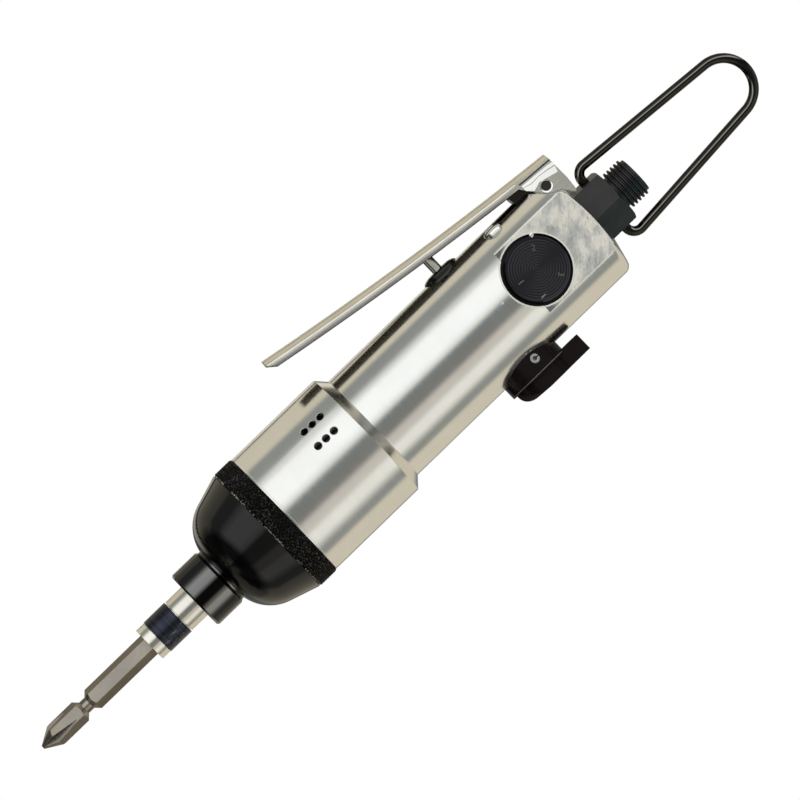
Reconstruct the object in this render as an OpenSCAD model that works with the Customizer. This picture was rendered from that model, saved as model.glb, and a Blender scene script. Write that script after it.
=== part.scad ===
// Straight reversible air screwdriver with a lever throttle.
// The tool's axis is X: the bit points to -X and the air inlet to +X.
// The lever is on top, at +Z, and the regulator dial is on the side, at -Y.
// The origin is on the axis, at the inner end of the inlet's thread.

/* [Handle] */
// Diameter of the handle
handle_dia = 37.6; // [37:0.1:39]
// Length of the handle from its rear face to the barrel's chamfer
handle_len = 88.9; // [86:0.5:100]
// Diameter of the flat rear face
rear_face_dia = 19.8; // [19.8:0.1:21]
// Distance of the side flat from the axis
side_flat_dist = 14.5; // [14.3:0.1:15.5]
// Length of the side flat
side_flat_len = 29.2; // [28:0.1:32]

/* [Barrel] */
// Diameter of the barrel
barrel_dia = 43.9; // [43:0.1:44.2]
// Length of the barrel's straight part
barrel_len = 33.1; // [32.8:0.1:36]
// Length of the chamfer between barrel and handle
barrel_chamfer_len = 2.9; // [2:0.1:3.2]
// Diameter of one exhaust hole
exhaust_dia = 2.45; // [1.5:0.05:2.8]
// Exhaust holes in one row
exhaust_count = 3; // [1:1:3]

/* [Lock ring] */
// Height of the lock ring over the barrel
ring_stand = 0.45; // [0.3:0.05:1.5]
// Length of the lock ring
ring_len = 7; // [5:0.1:8]
// Serrations round the lock ring
knurl_count = 90; // [45:1:100]

/* [Hammer case] */
// Height of the dome's rear edge over the barrel
dome_stand = 0.25; // [0.1:0.05:0.4]
// Length of the dome
dome_len = 18.4; // [18:0.1:20]
// Diameter of the neck
neck_dia = 19.7; // [19.2:0.1:20.5]
// Length of the neck
neck_len = 10.8; // [10.4:0.1:13]

/* [Anvil and bit] */
// Diameter of the anvil's nose
nose_dia = 11.2; // [11:0.05:11.6]
// Length of the nose in front of the neck
nose_len = 18.2; // [17.8:0.1:20]
// Length of the spring band
band_len = 8.3; // [6.5:0.1:8.6]
// Width across flats of the bit
bit_af = 6.35; // [6.2:0.05:6.4]
// Overall length of the double-ended bit
bit_len = 65; // [62:0.5:90]
// Depth of the hexagonal socket behind the nose's front
socket_depth = 23; // [22.9:0.1:23.4]

/* [Motor] */
// Gap between rotor and liner where they are closest
rotor_gap = 0.1; // [0.1:0.05:0.4]
// Thickness of a vane
vane_t = 1.5; // [1:0.1:1.8]
// Mean thickness of the liner's wall
liner_wall = 3.9; // [3.8:0.05:3.9]

/* [Lever] */
// Width of the lever
lever_w = 12; // [11.8:0.1:13]
// Thickness of the lever's sheet
lever_t = 1; // [0.8:0.05:1.05]
// Distance from the lever's tip to the housing's rear face
lever_reach = 98.8; // [90:0.1:101]
// Diameter of the lever's pin
pivot_dia = 3; // [2.5:0.1:3.2]

/* [Valves] */
// Diameter of the valve stem
stem_dia = 3.3; // [3:0.1:3.6]
// Diameter of the stem's bush
bush_dia = 12.2; // [11.8:0.1:12.6]
// Turn of the reverse knob
knob_turn = 11.6; // [8:0.1:12]
// Thickness of the reverse knob's plate
knob_plate_h = 5.6; // [4.5:0.1:6.5]
// Reach of the knob's tab behind its axis
knob_tab_len = 16.3; // [14:0.1:18]
// Width of the knob's tab
knob_tab_w = 11; // [8:0.1:13]

/* [Regulator] */
// Diameter of the dial's pocket
pocket_dia = 21.2; // [20.9:0.1:21.4]
// Diameter of the dial
dial_dia = 19.9; // [19:0.1:19.9]

/* [Inlet] */
// Width across flats of the inlet's hexagon
inlet_af = 17; // [16.6:0.1:17.2]
// Length of the hexagon
inlet_hex_len = 9.5; // [9:0.1:11]
// Turn of the hexagon about the tool's axis
inlet_turn = 9.5; // [8:0.5:11]
// Length of the neck between hexagon and thread
inlet_neck_len = 1.6; // [1.4:0.1:3]
// Outer diameter of the inlet's thread
thread_dia = 13.16; // [12.9:0.02:13.4]
// Full crests on the inlet's thread
thread_crests = 5; // [3:1:6]
// Bore of the inlet
inlet_bore = 8.6; // [7.5:0.1:8.8]

/* [Hanger] */
// Diameter of the hanger's wire
wire_dia = 3; // [2.5:0.1:3]
// Distance from the hanger's holes to the centre of its end bow
hanger_len = 48.5; // [42:0.5:60]
// Radius of the hanger's end bow, at the wire's centre
hanger_bow_r = 9.1; // [8.5:0.1:10]

/* [Hidden] */
$fn = 96;

// Clearances, and the overrun of every cut
over = 1;
fit = 0.05;
slip = 0.1;
seat = 0.02;

// Stations along the tool
rear_x = -inlet_neck_len - inlet_hex_len;
step_x = rear_x - handle_len;
barrel_rear_x = step_x - barrel_chamfer_len;
ring_rear_x = barrel_rear_x - barrel_len;
case_rear_x = ring_rear_x - ring_len;
neck_rear_x = case_rear_x - dome_len;
neck_front_x = neck_rear_x - neck_len;
nose_front_x = neck_front_x - nose_len;
spigot_len = 4.7;
spigot_front_x = case_rear_x - spigot_len;
stem_setback = 43.3;
stem_x = rear_x - stem_setback;
dial_setback = 23.1;
dial_x = rear_x - dial_setback;

// Diameters inside the barrel, from its wall inwards
barrel_shoulder = 2.45;
spigot_wall = 2;
spacer_wall = 1.65;
cage_play = 0.8;
ring_dia = barrel_dia + 2 * ring_stand;
dome_dia = barrel_dia + 2 * dome_stand;
spigot_dia = barrel_dia - 2 * barrel_shoulder;
chamber_dia = spigot_dia - 2 * spigot_wall;
stack_dia = chamber_dia - 2 * fit;
cavity_dia = stack_dia - 2 * spacer_wall;
cage_dia = cavity_dia - 2 * cage_play;

// Hammer mechanism, from the case's cavity to the motor
cavity_cone_inset = 4.3;
cavity_front_dia = cavity_dia - 2 * cavity_cone_inset;
cavity_wall = 1.9;
cavity_cone_len = 4.2;
cavity_front_x = neck_rear_x + cavity_wall;
cage_setback = 5.1;
cage_disc = 2.1;
hammer_len = 3.9;
hammer_play = 0.1;
cage_gap = 0.7;
cage_front_x = cavity_front_x + cage_setback;
cage_inner_front_x = cage_front_x + cage_disc;
hammer_front_x = cage_inner_front_x + hammer_play;
hammer_split_x = hammer_front_x + hammer_len + hammer_play;
hammer_rear_x = hammer_split_x + hammer_len;
cage_inner_rear_x = hammer_rear_x + hammer_play;
cage_rear_x = cage_inner_rear_x + cage_disc;
web_t = 1.1;
web_in_dia = cage_dia - 2 * web_t;
web_w = 14;
pin_dia = 4;
pin_inset = 3.6;
pin_r = cage_dia / 2 - pin_inset;
hammer_gap = 1;
hammer_od = web_in_dia - 2 * hammer_gap;
hammer_wall = 4.5;
dog_inset = 0.9;
hammer_id = hammer_od - 2 * hammer_wall;
hammer_dog = hammer_id - 2 * dog_inset;
anvil_dog_gap = 0.6;
anvil_dog_dia = hammer_id - 2 * anvil_dog_gap;
anvil_dog_h = 0.8;
anvil_body_dia = anvil_dog_dia - 2 * anvil_dog_h;
dog_w = 6;
dog_turn = 40;
pin_slot = 0.5;

// Motor stack between the hammer mechanism and the chamber's end
chamber_wall = 1.4;
gasket_t = 0.4;
plate_len = 7.4;
chamber_rear_x = step_x - chamber_wall;
gasket_x = chamber_rear_x - gasket_t;
rear_plate_x = gasket_x - plate_len;
front_plate_x = cage_rear_x + cage_gap;
liner_x = front_plate_x + plate_len;
liner_rise = 1.25;
liner_bore = stack_dia - 2 * liner_wall;
rotor_dia = liner_bore - 2 * liner_rise - 2 * rotor_gap;
rotor_play = 0.1;
rotor_front_x = liner_x + rotor_play;
rotor_rear_x = rear_plate_x - rotor_play;
dowel_dia = 2.5;
dowel_inset = 2.15;
dowel_r = stack_dia / 2 - dowel_inset;
vane_count = 5;
vane_slot_h = 5.4;
vane_sink = 0.2;
vane_root_r = rotor_dia / 2 - vane_slot_h;
vane_h = vane_slot_h - vane_sink;
port_inset = 1.95;
port_r = liner_bore / 2 - port_inset;
port_dia = 3.6;
port_groove = 1.5;
port_turn = 32;

// Bearings
front_bearing_w = 6;
front_bearing_od = 19;
front_bearing_id = 8;
front_race_t = 1.25;
front_balls = 8;
front_ball_dia = 3.5;
rear_bearing_w = 5;
rear_bearing_od = 15;
rear_bearing_id = 6;
rear_race_t = 1.05;
rear_balls = 7;
rear_ball_dia = 3;
rear_bearing_x = rear_plate_x;
front_balls_r = (front_bearing_od + front_bearing_id) / 4;
rear_balls_r = (rear_bearing_od + rear_bearing_id) / 4;

// Anvil
journal_dia = 12.5;
journal_front_gap = 0.8;
flange_dia = 16;
flange_len = 1.5;
anvil_play = 0.3;
cage_bore = anvil_body_dia + 2 * anvil_play;
pilot_dia = 4;
shaft_hex_af = 6.9;
bush_od = 16;
lip_dia = 11.8;
socket_gap = 0.1;
socket_over = 0.9;
collar_len = 3.1;
band_recess_dia = 9.9;
band_recess_len = 8.7;
band_dia = 11.6;
band_slit = 0.7;
band_x = nose_front_x + collar_len;
socket_end_x = nose_front_x + socket_depth;
bit_rear_x = socket_end_x - socket_over;
bit_mid_x = bit_rear_x - bit_len / 2;
groove_setback = 17.6;
groove_core_dia = 4.2;
groove_core_len = 2.1;
groove_bevel = 1.6;
ball_dia = 2.7;
ball_r = 3.55;
ball_x = bit_rear_x - groove_setback;

// Flutes of the bit
point_dia = 1.2;
point_len = 5.2;
flute_len = 12;
flute_root = 0.75;
flute_turn = -8;
bit_turn = 24.7;
flute_tilt = 11.5;
flute_size = 5;
quarter = 90;
sixth = 60;
half_turn = 180;
turn = 360;

// Knurl and dome
knurl_depth = 0.3;
shoulder_r = 13.24;
flank_angle = 17.5;
neck_chamfer = 0.6;
arc_steps = 16;
edge_r = 2.4;
cone_angle = 14.5;

// Exhaust
exhaust_angle_a = 19.5;
exhaust_angle_b = 36.4;
exhaust_pitch = 3.15;
exhaust_belt_depth = 1.8;
exhaust_belt_dia = chamber_dia + 2 * exhaust_belt_depth;
exhaust_belt_len = 10;
exhaust_setback = 9.5;
exhaust_mid_x = barrel_rear_x - exhaust_setback;

// Lug, notches and lever
handle_r = handle_dia / 2;
lug_w = 9.2;
lug_h = 2.6;
lug_dia = handle_dia + 2 * lug_h;
lug_len = 13.4;
lug_lean = 0.9;
lug_sink = 1.8;
lug_foot = handle_r - lug_sink;
ear_t = 1.2;
ear_len = 12.5;
pivot_setback = 3.8;
pivot_sink = 3.1;
pivot_z = handle_r - pivot_sink;
pivot_x = rear_x - pivot_setback;
pin_recess = 0.3;
lever_bow_r = 1210;
lever_slope = 5.3;
lever_top_h = 4.2;
lever_top_z = handle_r + lever_top_h;
lever_top_x = 1.2;
lever_tail = 2.2;
lever_depth = 3.7;
crown_r = 11;
bend_r = 0.8;
lever_facets = 2200;
bow_x = rear_x + lever_top_x + lever_bow_r * sin(lever_slope);
bow_z = lever_top_z + lever_bow_r * cos(lever_slope);
tip_slant_x = 2.6;
tip_slant_z = 2.1;

// Stem, throttle and reverse valve
bush_foot_z = 9.2;
bush_stand = 0.2;
bush_dome_h = 1.2;
bush_edge_z = handle_r + bush_stand;
bush_top_z = bush_edge_z + bush_dome_h;
bush_dome_angle = 73;
stem_stand = 7.8;
stem_top_z = handle_r + stem_stand;
stem_foot_z = 3.02;
valve_top_z = 2.98;
throttle_dia = 10;
throttle_t = 2.3;
throttle_spring_dia = 8.4;
throttle_spring_bore = 6.8;
oring_t = 1.4;
stem_oring_z = 14;
reverse_bore = 20.4;
reverse_dia = 20.24;
reverse_top_z = 9;
reverse_foot_z = -9.5;
chamber_floor_z = -8;
valve_chamber_dia = 13.2;
seat_dia = 6.8;
seat_t = 1.5;
seal_top_z = 2.48;
slot_low_z = -5;
slot_high_z = 2.5;
slot_w = 9.4;
window_w = 7.6;
channel_dia = 4;
channel_y = 4.1;
channel_z = 6.5;
tail_dia = 9;
hub_dia = 20.3;
hub_top_z = -9.8;
hub_stand = 2.8;
hub_foot_z = -handle_r - hub_stand;
tail_inset = 2.6;
tail_foot_z = hub_foot_z + tail_inset;
roll_dia = 2.9;
roll_bore = 1.35;
roll_inset = 3.5;
roll_z = hub_foot_z + roll_inset;
roll_len = 19.8;
roll_slit = 0.5;
stop_z = -12.8;
stop_ball_dia = 3;
stop_ball_r = 9.75;
stop_sweep = 6 * knob_turn;
stop_spring_dia = 2.6;
stop_spring_bore = 1.6;
stop_hole_r = 5.4;
plate_nose_len = 8.9;
plate_nose_curve = 7;
tab_round_r = 14;

// Regulator
dial_face = 0.1;
dial_t = 4.8;
pocket_floor = 9.6;
pocket_shift = 0.4;
neck_core_dia = 9.2;
spool_dia = 12.96;
spool_bore = 13;
spool_front = 6;
spool_end = 9;
spool_oring_y = -5.1;
port_dias = [7.8, 5.2, 3.2];
detent_setback = 24.3;
detent_x = rear_x - detent_setback;
detent_y = -7.6;
detent_ball_dia = 3;
detent_ball_z = 6.02;
detent_spring_dia = 2.8;
detent_spring_bore = 1.8;
detent_bore = 3.2;
screw_dia = 6.7;
screw_sink = 2.8;
screw_len = 4.3;
screw_top_z = handle_r - screw_sink;
screw_foot_z = screw_top_z - screw_len;
screw_dome = 1.3;
supply_dia = 10;

// Inlet
stub_len = 13;
stub_dia = 15.9;
stub_bore = 16;
stub_end_gap = 3;
seal_t = 1.5;
seal_groove_dia = 12.8;
screen_dia = 12;
screen_t = 1.2;
screen_rows = 3;
screen_pitch = 1.2;
screen_rim = 2.2;
screen_hole_dia = 0.72;
screen_setback = 10.2;
inlet_neck_dia = 10.9;
thread_pitch = 1.337;
thread_depth = 0.856;
crest_share = 0.3;
hex_chamfer = 1.2;
corner_share = 1.1547;
hanger_hole_dia = 3.2;
hanger_hole_x = 5.1;
hanger_hole_z = 5.7;
hanger_end_z = 5.9;
hanger_bend_r = 3.2;
hanger_taper = 4.5;
hanger_run = hanger_len - hanger_bend_r;
hanger_bend_z = (hanger_run * sin(hanger_taper) + hanger_bow_r - hanger_bend_r) / cos(hanger_taper);
hanger_x = rear_x + hanger_hole_x;

// Cylinder along the tool between two stations
module bar(x0, x1, d) {
    translate([x0, 0, 0]) rotate([0, 90, 0]) cylinder(h = x1 - x0, d = d);
}

// Tube along the tool
module tube(x0, x1, d, bore) {
    difference() {
        bar(x0, x1, d);
        bar(x0 - over, x1 + over, bore);
    }
}

// Hexagonal bar along the tool, with two corners at the sides
module hex_bar(x0, x1, af) {
    translate([x0, 0, 0]) rotate([0, quarter, 0]) rotate([0, 0, quarter / 3])
        cylinder(h = x1 - x0, d = af * corner_share, $fn = 6);
}

// Upright cylinder
module post(x, z0, z1, d) {
    translate([x, 0, z0]) cylinder(h = z1 - z0, d = d);
}

// Cylinder across the tool
module cross(x, z, y0, y1, d) {
    translate([x, y1, z]) rotate([90, 0, 0]) cylinder(h = y1 - y0, d = d);
}

// Solid turned about the tool's axis from stations and radii
module turned(outline) {
    rotate([0, 90, 0]) rotate_extrude() polygon([for (p = outline) [p[1], p[0]]]);
}

// Flat shape in the lever's plane, between two sides
module slab(y0, y1) {
    translate([0, y1, 0]) rotate([90, 0, 0]) linear_extrude(height = y1 - y0) children();
}

// Ring with a round section about the tool's axis
module ring(x, r, t) {
    translate([x, 0, 0]) rotate([0, 90, 0]) rotate_extrude() translate([r, 0]) circle(d = t, $fn = 32);
}

// Height over a ball's centre at which a spring with this bore stands on the ball
function spring_seat(ball, bore) = sqrt(ball * ball - bore * bore) / 2 + seat;

// Ball race, half of a bearing, with its groove at radius r
module race(x0, w, d_out, d_in, r, ball) {
    difference() {
        tube(x0, x0 + w, d_out, d_in);
        ring(x0 + w / 2, r, ball + slip);
    }
}

// Balls of a bearing at radius r
module balls(x_mid, r, ball, n) {
    for (k = [0:n - 1])
        rotate([k * turn / n, 0, 0]) translate([x_mid, 0, r]) sphere(d = ball, $fn = 32);
}

function dome_tangent_x() = case_rear_x - dome_len + shoulder_r - shoulder_r * sin(flank_angle);
function dome_tangent_r() = dome_dia / 2 - (case_rear_x - dome_tangent_x()) * tan(flank_angle);
function shoulder_mid_r() = dome_tangent_r() - shoulder_r * cos(flank_angle);
function shoulder_start() = asin((neck_dia / 2 - neck_chamfer - shoulder_mid_r()) / shoulder_r);
function shoulder_outline() = [for (k = [0:arc_steps])
    let (a = shoulder_start() + (quarter - flank_angle - shoulder_start()) * k / arc_steps)
    [neck_rear_x + shoulder_r - shoulder_r * cos(a), shoulder_mid_r() + shoulder_r * sin(a)]];

function rear_edge_start_r() = handle_dia / 2 - edge_r + edge_r * sin(cone_angle);
function rear_edge_x() = rear_x - (rear_edge_start_r() - rear_face_dia / 2) * tan(cone_angle);
function rear_edge_outline() = [for (k = [0:arc_steps])
    let (a = (quarter - cone_angle) * k / arc_steps)
    [rear_edge_x() - edge_r * (cos(cone_angle) - sin(a)), handle_dia / 2 - edge_r * (1 - cos(a))]];

function lug_outline() = [
    [rear_x - lug_len - lug_lean, lug_dia / 2 - over],
    [rear_x - lug_len, lug_dia / 2 + over],
    [rear_x - lug_lean, lug_dia / 2 + over],
    [rear_x, lug_dia / 2 - lug_lean],
    [rear_x, pivot_z - over],
    [rear_x - pivot_setback, pivot_z - pivot_setback],
    [rear_x - lug_len, lug_foot - over]
];

// Ear of the lever: shares of the ear's length behind the rear face, and of its height over the pin
ear_shares = [
    [-0.816, 0.616], [-0.632, 0.192], [-0.48, -0.11], [-0.4, -0.274], [-0.256, -0.411], [-0.08, -0.534],
    [-0.056, -0.644], [0.012, -0.795], [0.104, -1.014], [0.152, -0.932], [0.188, -0.329], [0.176, 0.753],
    [-0.816, 0.904]
];
// Notch of the housing beside the ear, in the same shares
notch_shares = [
    [-1.008, 0.712], [-0.792, 0.315], [-0.632, 0.027], [-0.504, -0.219], [-0.4, -0.425],
    [-0.256, -0.562], [-0.08, -0.671], [-0.032, -0.849], [0.24, -0.849], [0.24, 1.959], [-1.008, 1.959]
];
function ear_points(shares) = [for (p = shares) [p[0] * ear_len, pivot_z + p[1] * (lever_top_z - pivot_z)]];

module housing() {
    color([0.78, 0.78, 0.76])
    difference() {
        union() {
            turned(concat(
                [[spigot_front_x, 0], [spigot_front_x, spigot_dia / 2], [ring_rear_x, spigot_dia / 2]],
                [[ring_rear_x, barrel_dia / 2], [barrel_rear_x, barrel_dia / 2], [step_x, handle_dia / 2]],
                rear_edge_outline(),
                [[rear_x, rear_face_dia / 2], [rear_x, 0]]
            ));
            intersection() {
                slab(-lug_w / 2, lug_w / 2) polygon(lug_outline());
                bar(rear_x - lug_len - over, rear_x + over, lug_dia);
            }
        }
        bar(spigot_front_x - over, chamber_rear_x, chamber_dia);
        bar(exhaust_mid_x - exhaust_belt_len / 2, exhaust_mid_x + exhaust_belt_len / 2, exhaust_belt_dia);
        for (row = [exhaust_angle_a, exhaust_angle_b]) {
            rotate([row, 0, 0]) exhaust_row(chamber_dia / 2, barrel_dia / 2 + over);
            rotate([-row, 0, 0]) exhaust_row(-barrel_dia / 2 - over, -chamber_dia / 2);
        }
        side_flat_cut();
        cross(dial_x - pocket_shift, 0, -handle_dia / 2, -pocket_floor, pocket_dia);
        cross(dial_x, 0, -pocket_floor - over, spool_end + slip, spool_bore);
        translate([0, detent_y, 0]) post(detent_x, neck_core_dia / 2, screw_foot_z, detent_bore);
        translate([0, detent_y, 0]) post(detent_x, screw_foot_z, handle_dia / 2 + over, screw_dia + seat);
        bar(rear_x - stub_len - stub_end_gap, rear_x + over, stub_bore);
        bar(stem_x, rear_x - stub_len, supply_dia);
        post(stem_x, -handle_dia / 2 - over, reverse_top_z + 3 * fit, reverse_bore);
        post(stem_x, reverse_top_z, handle_dia / 2 + over, bush_dia + seat);
        for (side = [-1, 1])
            translate([0, side * channel_y, channel_z])
                bar(chamber_rear_x - over, stem_x, channel_dia);
        translate([stem_x, 0, stop_z]) rotate([0, 0, quarter - stop_sweep / 2])
            rotate_extrude(angle = stop_sweep)
                translate([stop_ball_r, 0]) circle(d = stop_ball_dia + 2 * slip, $fn = 32);
        notches();
        cross(pivot_x, pivot_z, -lug_w, lug_w, pivot_dia + seat);
    }
}

// Row of exhaust holes between two distances from the tool's middle plane
module exhaust_row(y0, y1) {
    for (k = [0:exhaust_count - 1])
        cross(exhaust_mid_x + (k - (exhaust_count - 1) / 2) * exhaust_pitch, 0, y0, y1, exhaust_dia);
}

module side_flat_cut() {
    translate([rear_x - side_flat_len, -handle_dia, -handle_dia / 2])
        cube([side_flat_len + over, handle_dia - side_flat_dist, handle_dia]);
}

module notches() {
    for (side = [-1, 1])
        translate([rear_x, side * (lug_w + handle_dia) / 2, 0])
            slab(-handle_dia / 2, handle_dia / 2) polygon(ear_points(notch_shares));
}

module hammer_case() {
    color([0.05, 0.05, 0.06])
    difference() {
        turned(concat(
            [[neck_front_x, 0], [neck_front_x, neck_dia / 2 - neck_chamfer]],
            [[neck_front_x + neck_chamfer, neck_dia / 2], [neck_rear_x - 2 * neck_chamfer, neck_dia / 2]],
            [[neck_rear_x - neck_chamfer / 2, neck_dia / 2 - neck_chamfer]],
            [[neck_rear_x, neck_dia / 2 - neck_chamfer]],
            shoulder_outline(),
            [[case_rear_x, dome_dia / 2], [case_rear_x, 0]]
        ));
        turned([
            [cavity_front_x, 0], [cavity_front_x, cavity_front_dia / 2],
            [cavity_front_x + cavity_cone_len, cavity_dia / 2],
            [case_rear_x + over, cavity_dia / 2], [case_rear_x + over, 0]
        ]);
        bar(spigot_front_x - slip, case_rear_x + over, spigot_dia + 2 * fit);
        bar(neck_front_x + journal_front_gap, cavity_front_x + over, bush_od);
        bar(neck_front_x - over, cavity_front_x, lip_dia);
    }
}

module lock_ring() {
    color([0.08, 0.08, 0.08])
    difference() {
        bar(case_rear_x + fit, ring_rear_x - fit, ring_dia);
        bar(case_rear_x - over, ring_rear_x + over, spigot_dia + 2 * fit);
        for (k = [0:knurl_count - 1])
            rotate([k * turn / knurl_count, 0, 0])
                translate([case_rear_x - over, 0, ring_dia / 2])
                    rotate([0, 90, 0]) cylinder(h = ring_len + 2 * over, r = knurl_depth, $fn = 4);
    }
}

module case_bush() {
    color([0.72, 0.55, 0.3])
    tube(neck_front_x + journal_front_gap + fit, cavity_front_x, bush_od - seat, journal_dia + 2 * fit);
}

module anvil() {
    color([0.7, 0.7, 0.7])
    difference() {
        union() {
            bar(nose_front_x, neck_front_x + journal_front_gap + over, nose_dia);
            bar(neck_front_x + journal_front_gap + slip, cavity_front_x + 2 * slip, journal_dia);
            bar(cavity_front_x + slip, cavity_front_x + slip + flange_len, flange_dia);
            bar(cavity_front_x + slip, cage_inner_rear_x - slip, anvil_body_dia);
            bar(cage_inner_rear_x - over, front_plate_x - slip, pilot_dia);
            intersection() {
                bar(hammer_front_x, hammer_rear_x, anvil_dog_dia);
                translate([hammer_front_x, -anvil_dog_dia / 2, -dog_w / 2])
                    cube([hammer_rear_x - hammer_front_x, anvil_dog_dia, dog_w]);
            }
        }
        rotate([bit_turn, 0, 0]) hex_bar(nose_front_x - over, socket_end_x, bit_af + socket_gap);
        tube(band_x, band_x + band_recess_len, nose_dia + over, band_recess_dia);
        cross(ball_x, 0, -nose_dia, -over, ball_dia + 2 * slip);
    }
}

module spring_band() {
    color([0.15, 0.17, 0.25])
    difference() {
        tube(band_x + slip, band_x + slip + band_len, band_dia, band_recess_dia + 2 * seat);
        translate([band_x, 0, -band_slit / 2]) cube([band_recess_len, nose_dia, band_slit]);
    }
}

module bit_ball() {
    color([0.8, 0.8, 0.8])
    translate([ball_x, -ball_r, 0]) sphere(d = ball_dia, $fn = 48);
}

// Half of the double-ended bit, from its middle to one point
module half_bit() {
    half = bit_len / 2;
    groove_x = groove_setback - half;
    flare_len = 3 * groove_bevel;
    flare_r = groove_core_dia / 2 + flare_len - groove_core_len / 2;
    difference() {
        intersection() {
            hex_bar(-half, slip, bit_af);
            turned([
                [-half, 0], [-half, point_dia / 2],
                [point_len - half, bit_af * corner_share / 2 + seat],
                [over, bit_af * corner_share / 2 + seat], [over, 0]
            ]);
        }
        difference() {
            bar(groove_x - 2 * groove_bevel - over / 2, groove_x + 2 * groove_bevel + over / 2, 2 * bit_af);
            turned([
                [groove_x - flare_len, 0], [groove_x - flare_len, flare_r],
                [groove_x - groove_core_len / 2, groove_core_dia / 2],
                [groove_x + groove_core_len / 2, groove_core_dia / 2],
                [groove_x + flare_len, flare_r], [groove_x + flare_len, 0]
            ]);
        }
        for (k = [0:3])
            rotate([quarter + flute_turn + k * quarter, 0, 0])
                translate([-half, 0, flute_root]) rotate([0, quarter - flute_tilt, 0])
                    translate([-flute_size, 0, -over])
                        cylinder(h = flute_len + 2 * over, r = flute_size, $fn = 4);
    }
}

module driver_bit() {
    color([0.5, 0.47, 0.42])
    translate([bit_mid_x, 0, 0]) rotate([bit_turn, 0, 0]) {
        half_bit();
        mirror([1, 0, 0]) half_bit();
    }
}

module hammer_cage() {
    color([0.45, 0.45, 0.47])
    difference() {
        bar(cage_front_x, cage_rear_x, cage_dia);
        hammer_space();
        bar(cage_front_x - over, cage_inner_rear_x, cage_bore);
        hex_bar(cage_front_x - over, cage_rear_x + over, shaft_hex_af + slip);
        for (side = [-1, 1])
            translate([0, 0, side * pin_r]) bar(cage_front_x - over, cage_rear_x + over, pin_dia + seat);
    }
}

// Space of the two hammers inside the cage, left open at both sides
module hammer_space() {
    bar(cage_inner_front_x, cage_inner_rear_x, web_in_dia);
    translate([cage_inner_front_x, -cage_dia, -cage_dia / 2 + web_w / 2])
        cube([cage_inner_rear_x - cage_inner_front_x, 2 * cage_dia, cage_dia - web_w]);
}

// One rocking hammer: side 1 pivots on the upper pin, side -1 on the lower
module hammer(x0, x1, side) {
    scale([1, 1, side])
    difference() {
        union() {
            tube(x0, x1, hammer_od, hammer_id);
            intersection() {
                rotate([dog_turn, 0, 0]) translate([x0, -dog_w / 2, hammer_dog / 2])
                    cube([x1 - x0, dog_w, (hammer_od - hammer_dog) / 2 - over]);
                bar(x0, x1, hammer_od - seat);
            }
        }
        translate([0, 0, pin_r]) bar(x0 - over, x1 + over, pin_dia + 2 * fit);
        translate([0, 0, -pin_r]) bar(x0 - over, x1 + over, pin_dia + 2 * pin_slot + 2 * slip);
        translate([x0 - over, -pin_dia / 2 - pin_slot - slip, -pin_r - pin_dia])
            cube([x1 - x0 + 2 * over, pin_dia + 2 * pin_slot + 2 * slip, pin_dia]);
    }
}

module hammer_front() {
    color([0.4, 0.4, 0.42]) hammer(hammer_front_x, hammer_split_x - hammer_play, 1);
}

module hammer_rear() {
    color([0.4, 0.4, 0.42]) hammer(hammer_split_x, hammer_rear_x, -1);
}

module hammer_pins() {
    color([0.65, 0.65, 0.65])
    for (side = [-1, 1])
        translate([0, 0, side * pin_r]) bar(cage_front_x, cage_rear_x, pin_dia);
}

module spacer_ring() {
    color([0.6, 0.6, 0.62])
    tube(spigot_front_x - slip + seat, front_plate_x - seat, stack_dia, cavity_dia);
}

module front_plate() {
    color([0.55, 0.56, 0.58])
    difference() {
        bar(front_plate_x, liner_x, stack_dia);
        bar(front_plate_x - over, front_plate_x + front_bearing_w, front_bearing_od + seat);
        bar(front_plate_x, liner_x + over, front_bearing_id + over);
        dowel_hole();
    }
}

module dowel_hole() {
    translate([0, 0, -dowel_r]) bar(front_plate_x - over, chamber_rear_x + over, dowel_dia + seat);
}

module front_bearing_outer() {
    color([0.75, 0.75, 0.76])
    race(front_plate_x, front_bearing_w, front_bearing_od, front_bearing_od - 2 * front_race_t,
        front_balls_r, front_ball_dia);
}

module front_bearing_inner() {
    color([0.75, 0.75, 0.76])
    race(front_plate_x, front_bearing_w, front_bearing_id + 2 * front_race_t, front_bearing_id,
        front_balls_r, front_ball_dia);
}

module front_bearing_balls() {
    color([0.8, 0.8, 0.8])
    balls(front_plate_x + front_bearing_w / 2, front_balls_r, front_ball_dia, front_balls);
}

module motor_liner() {
    color([0.5, 0.5, 0.52])
    difference() {
        bar(liner_x, rear_plate_x, stack_dia);
        translate([0, 0, liner_rise]) bar(liner_x - over, rear_plate_x + over, liner_bore);
        dowel_hole();
        for (k = [-1:1])
            translate([exhaust_mid_x + k * exhaust_pitch, 0, liner_bore / 4])
                translate([-exhaust_dia / 2, -chamber_dia / 4, 0])
                    cube([exhaust_dia, chamber_dia / 2, chamber_dia / 2]);
    }
}

module rotor() {
    color([0.6, 0.6, 0.62])
    difference() {
        union() {
            bar(rotor_front_x, rotor_rear_x, rotor_dia);
            bar(front_plate_x, rotor_front_x + over, front_bearing_id - seat);
            hex_bar(cage_rear_x - cage_disc + slip, front_plate_x + over, shaft_hex_af);
            bar(rotor_rear_x - over, rear_bearing_x + rear_bearing_w, rear_bearing_id - seat);
        }
        bar(cage_rear_x - cage_disc - over, front_plate_x, pilot_dia + 2 * fit);
        for (k = [0:vane_count - 1])
            rotate([k * turn / vane_count, 0, 0])
                translate([rotor_front_x - over, -vane_t / 2 - fit, vane_root_r])
                    cube([rotor_rear_x - rotor_front_x + 2 * over, vane_t + 2 * fit, rotor_dia]);
    }
}

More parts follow.
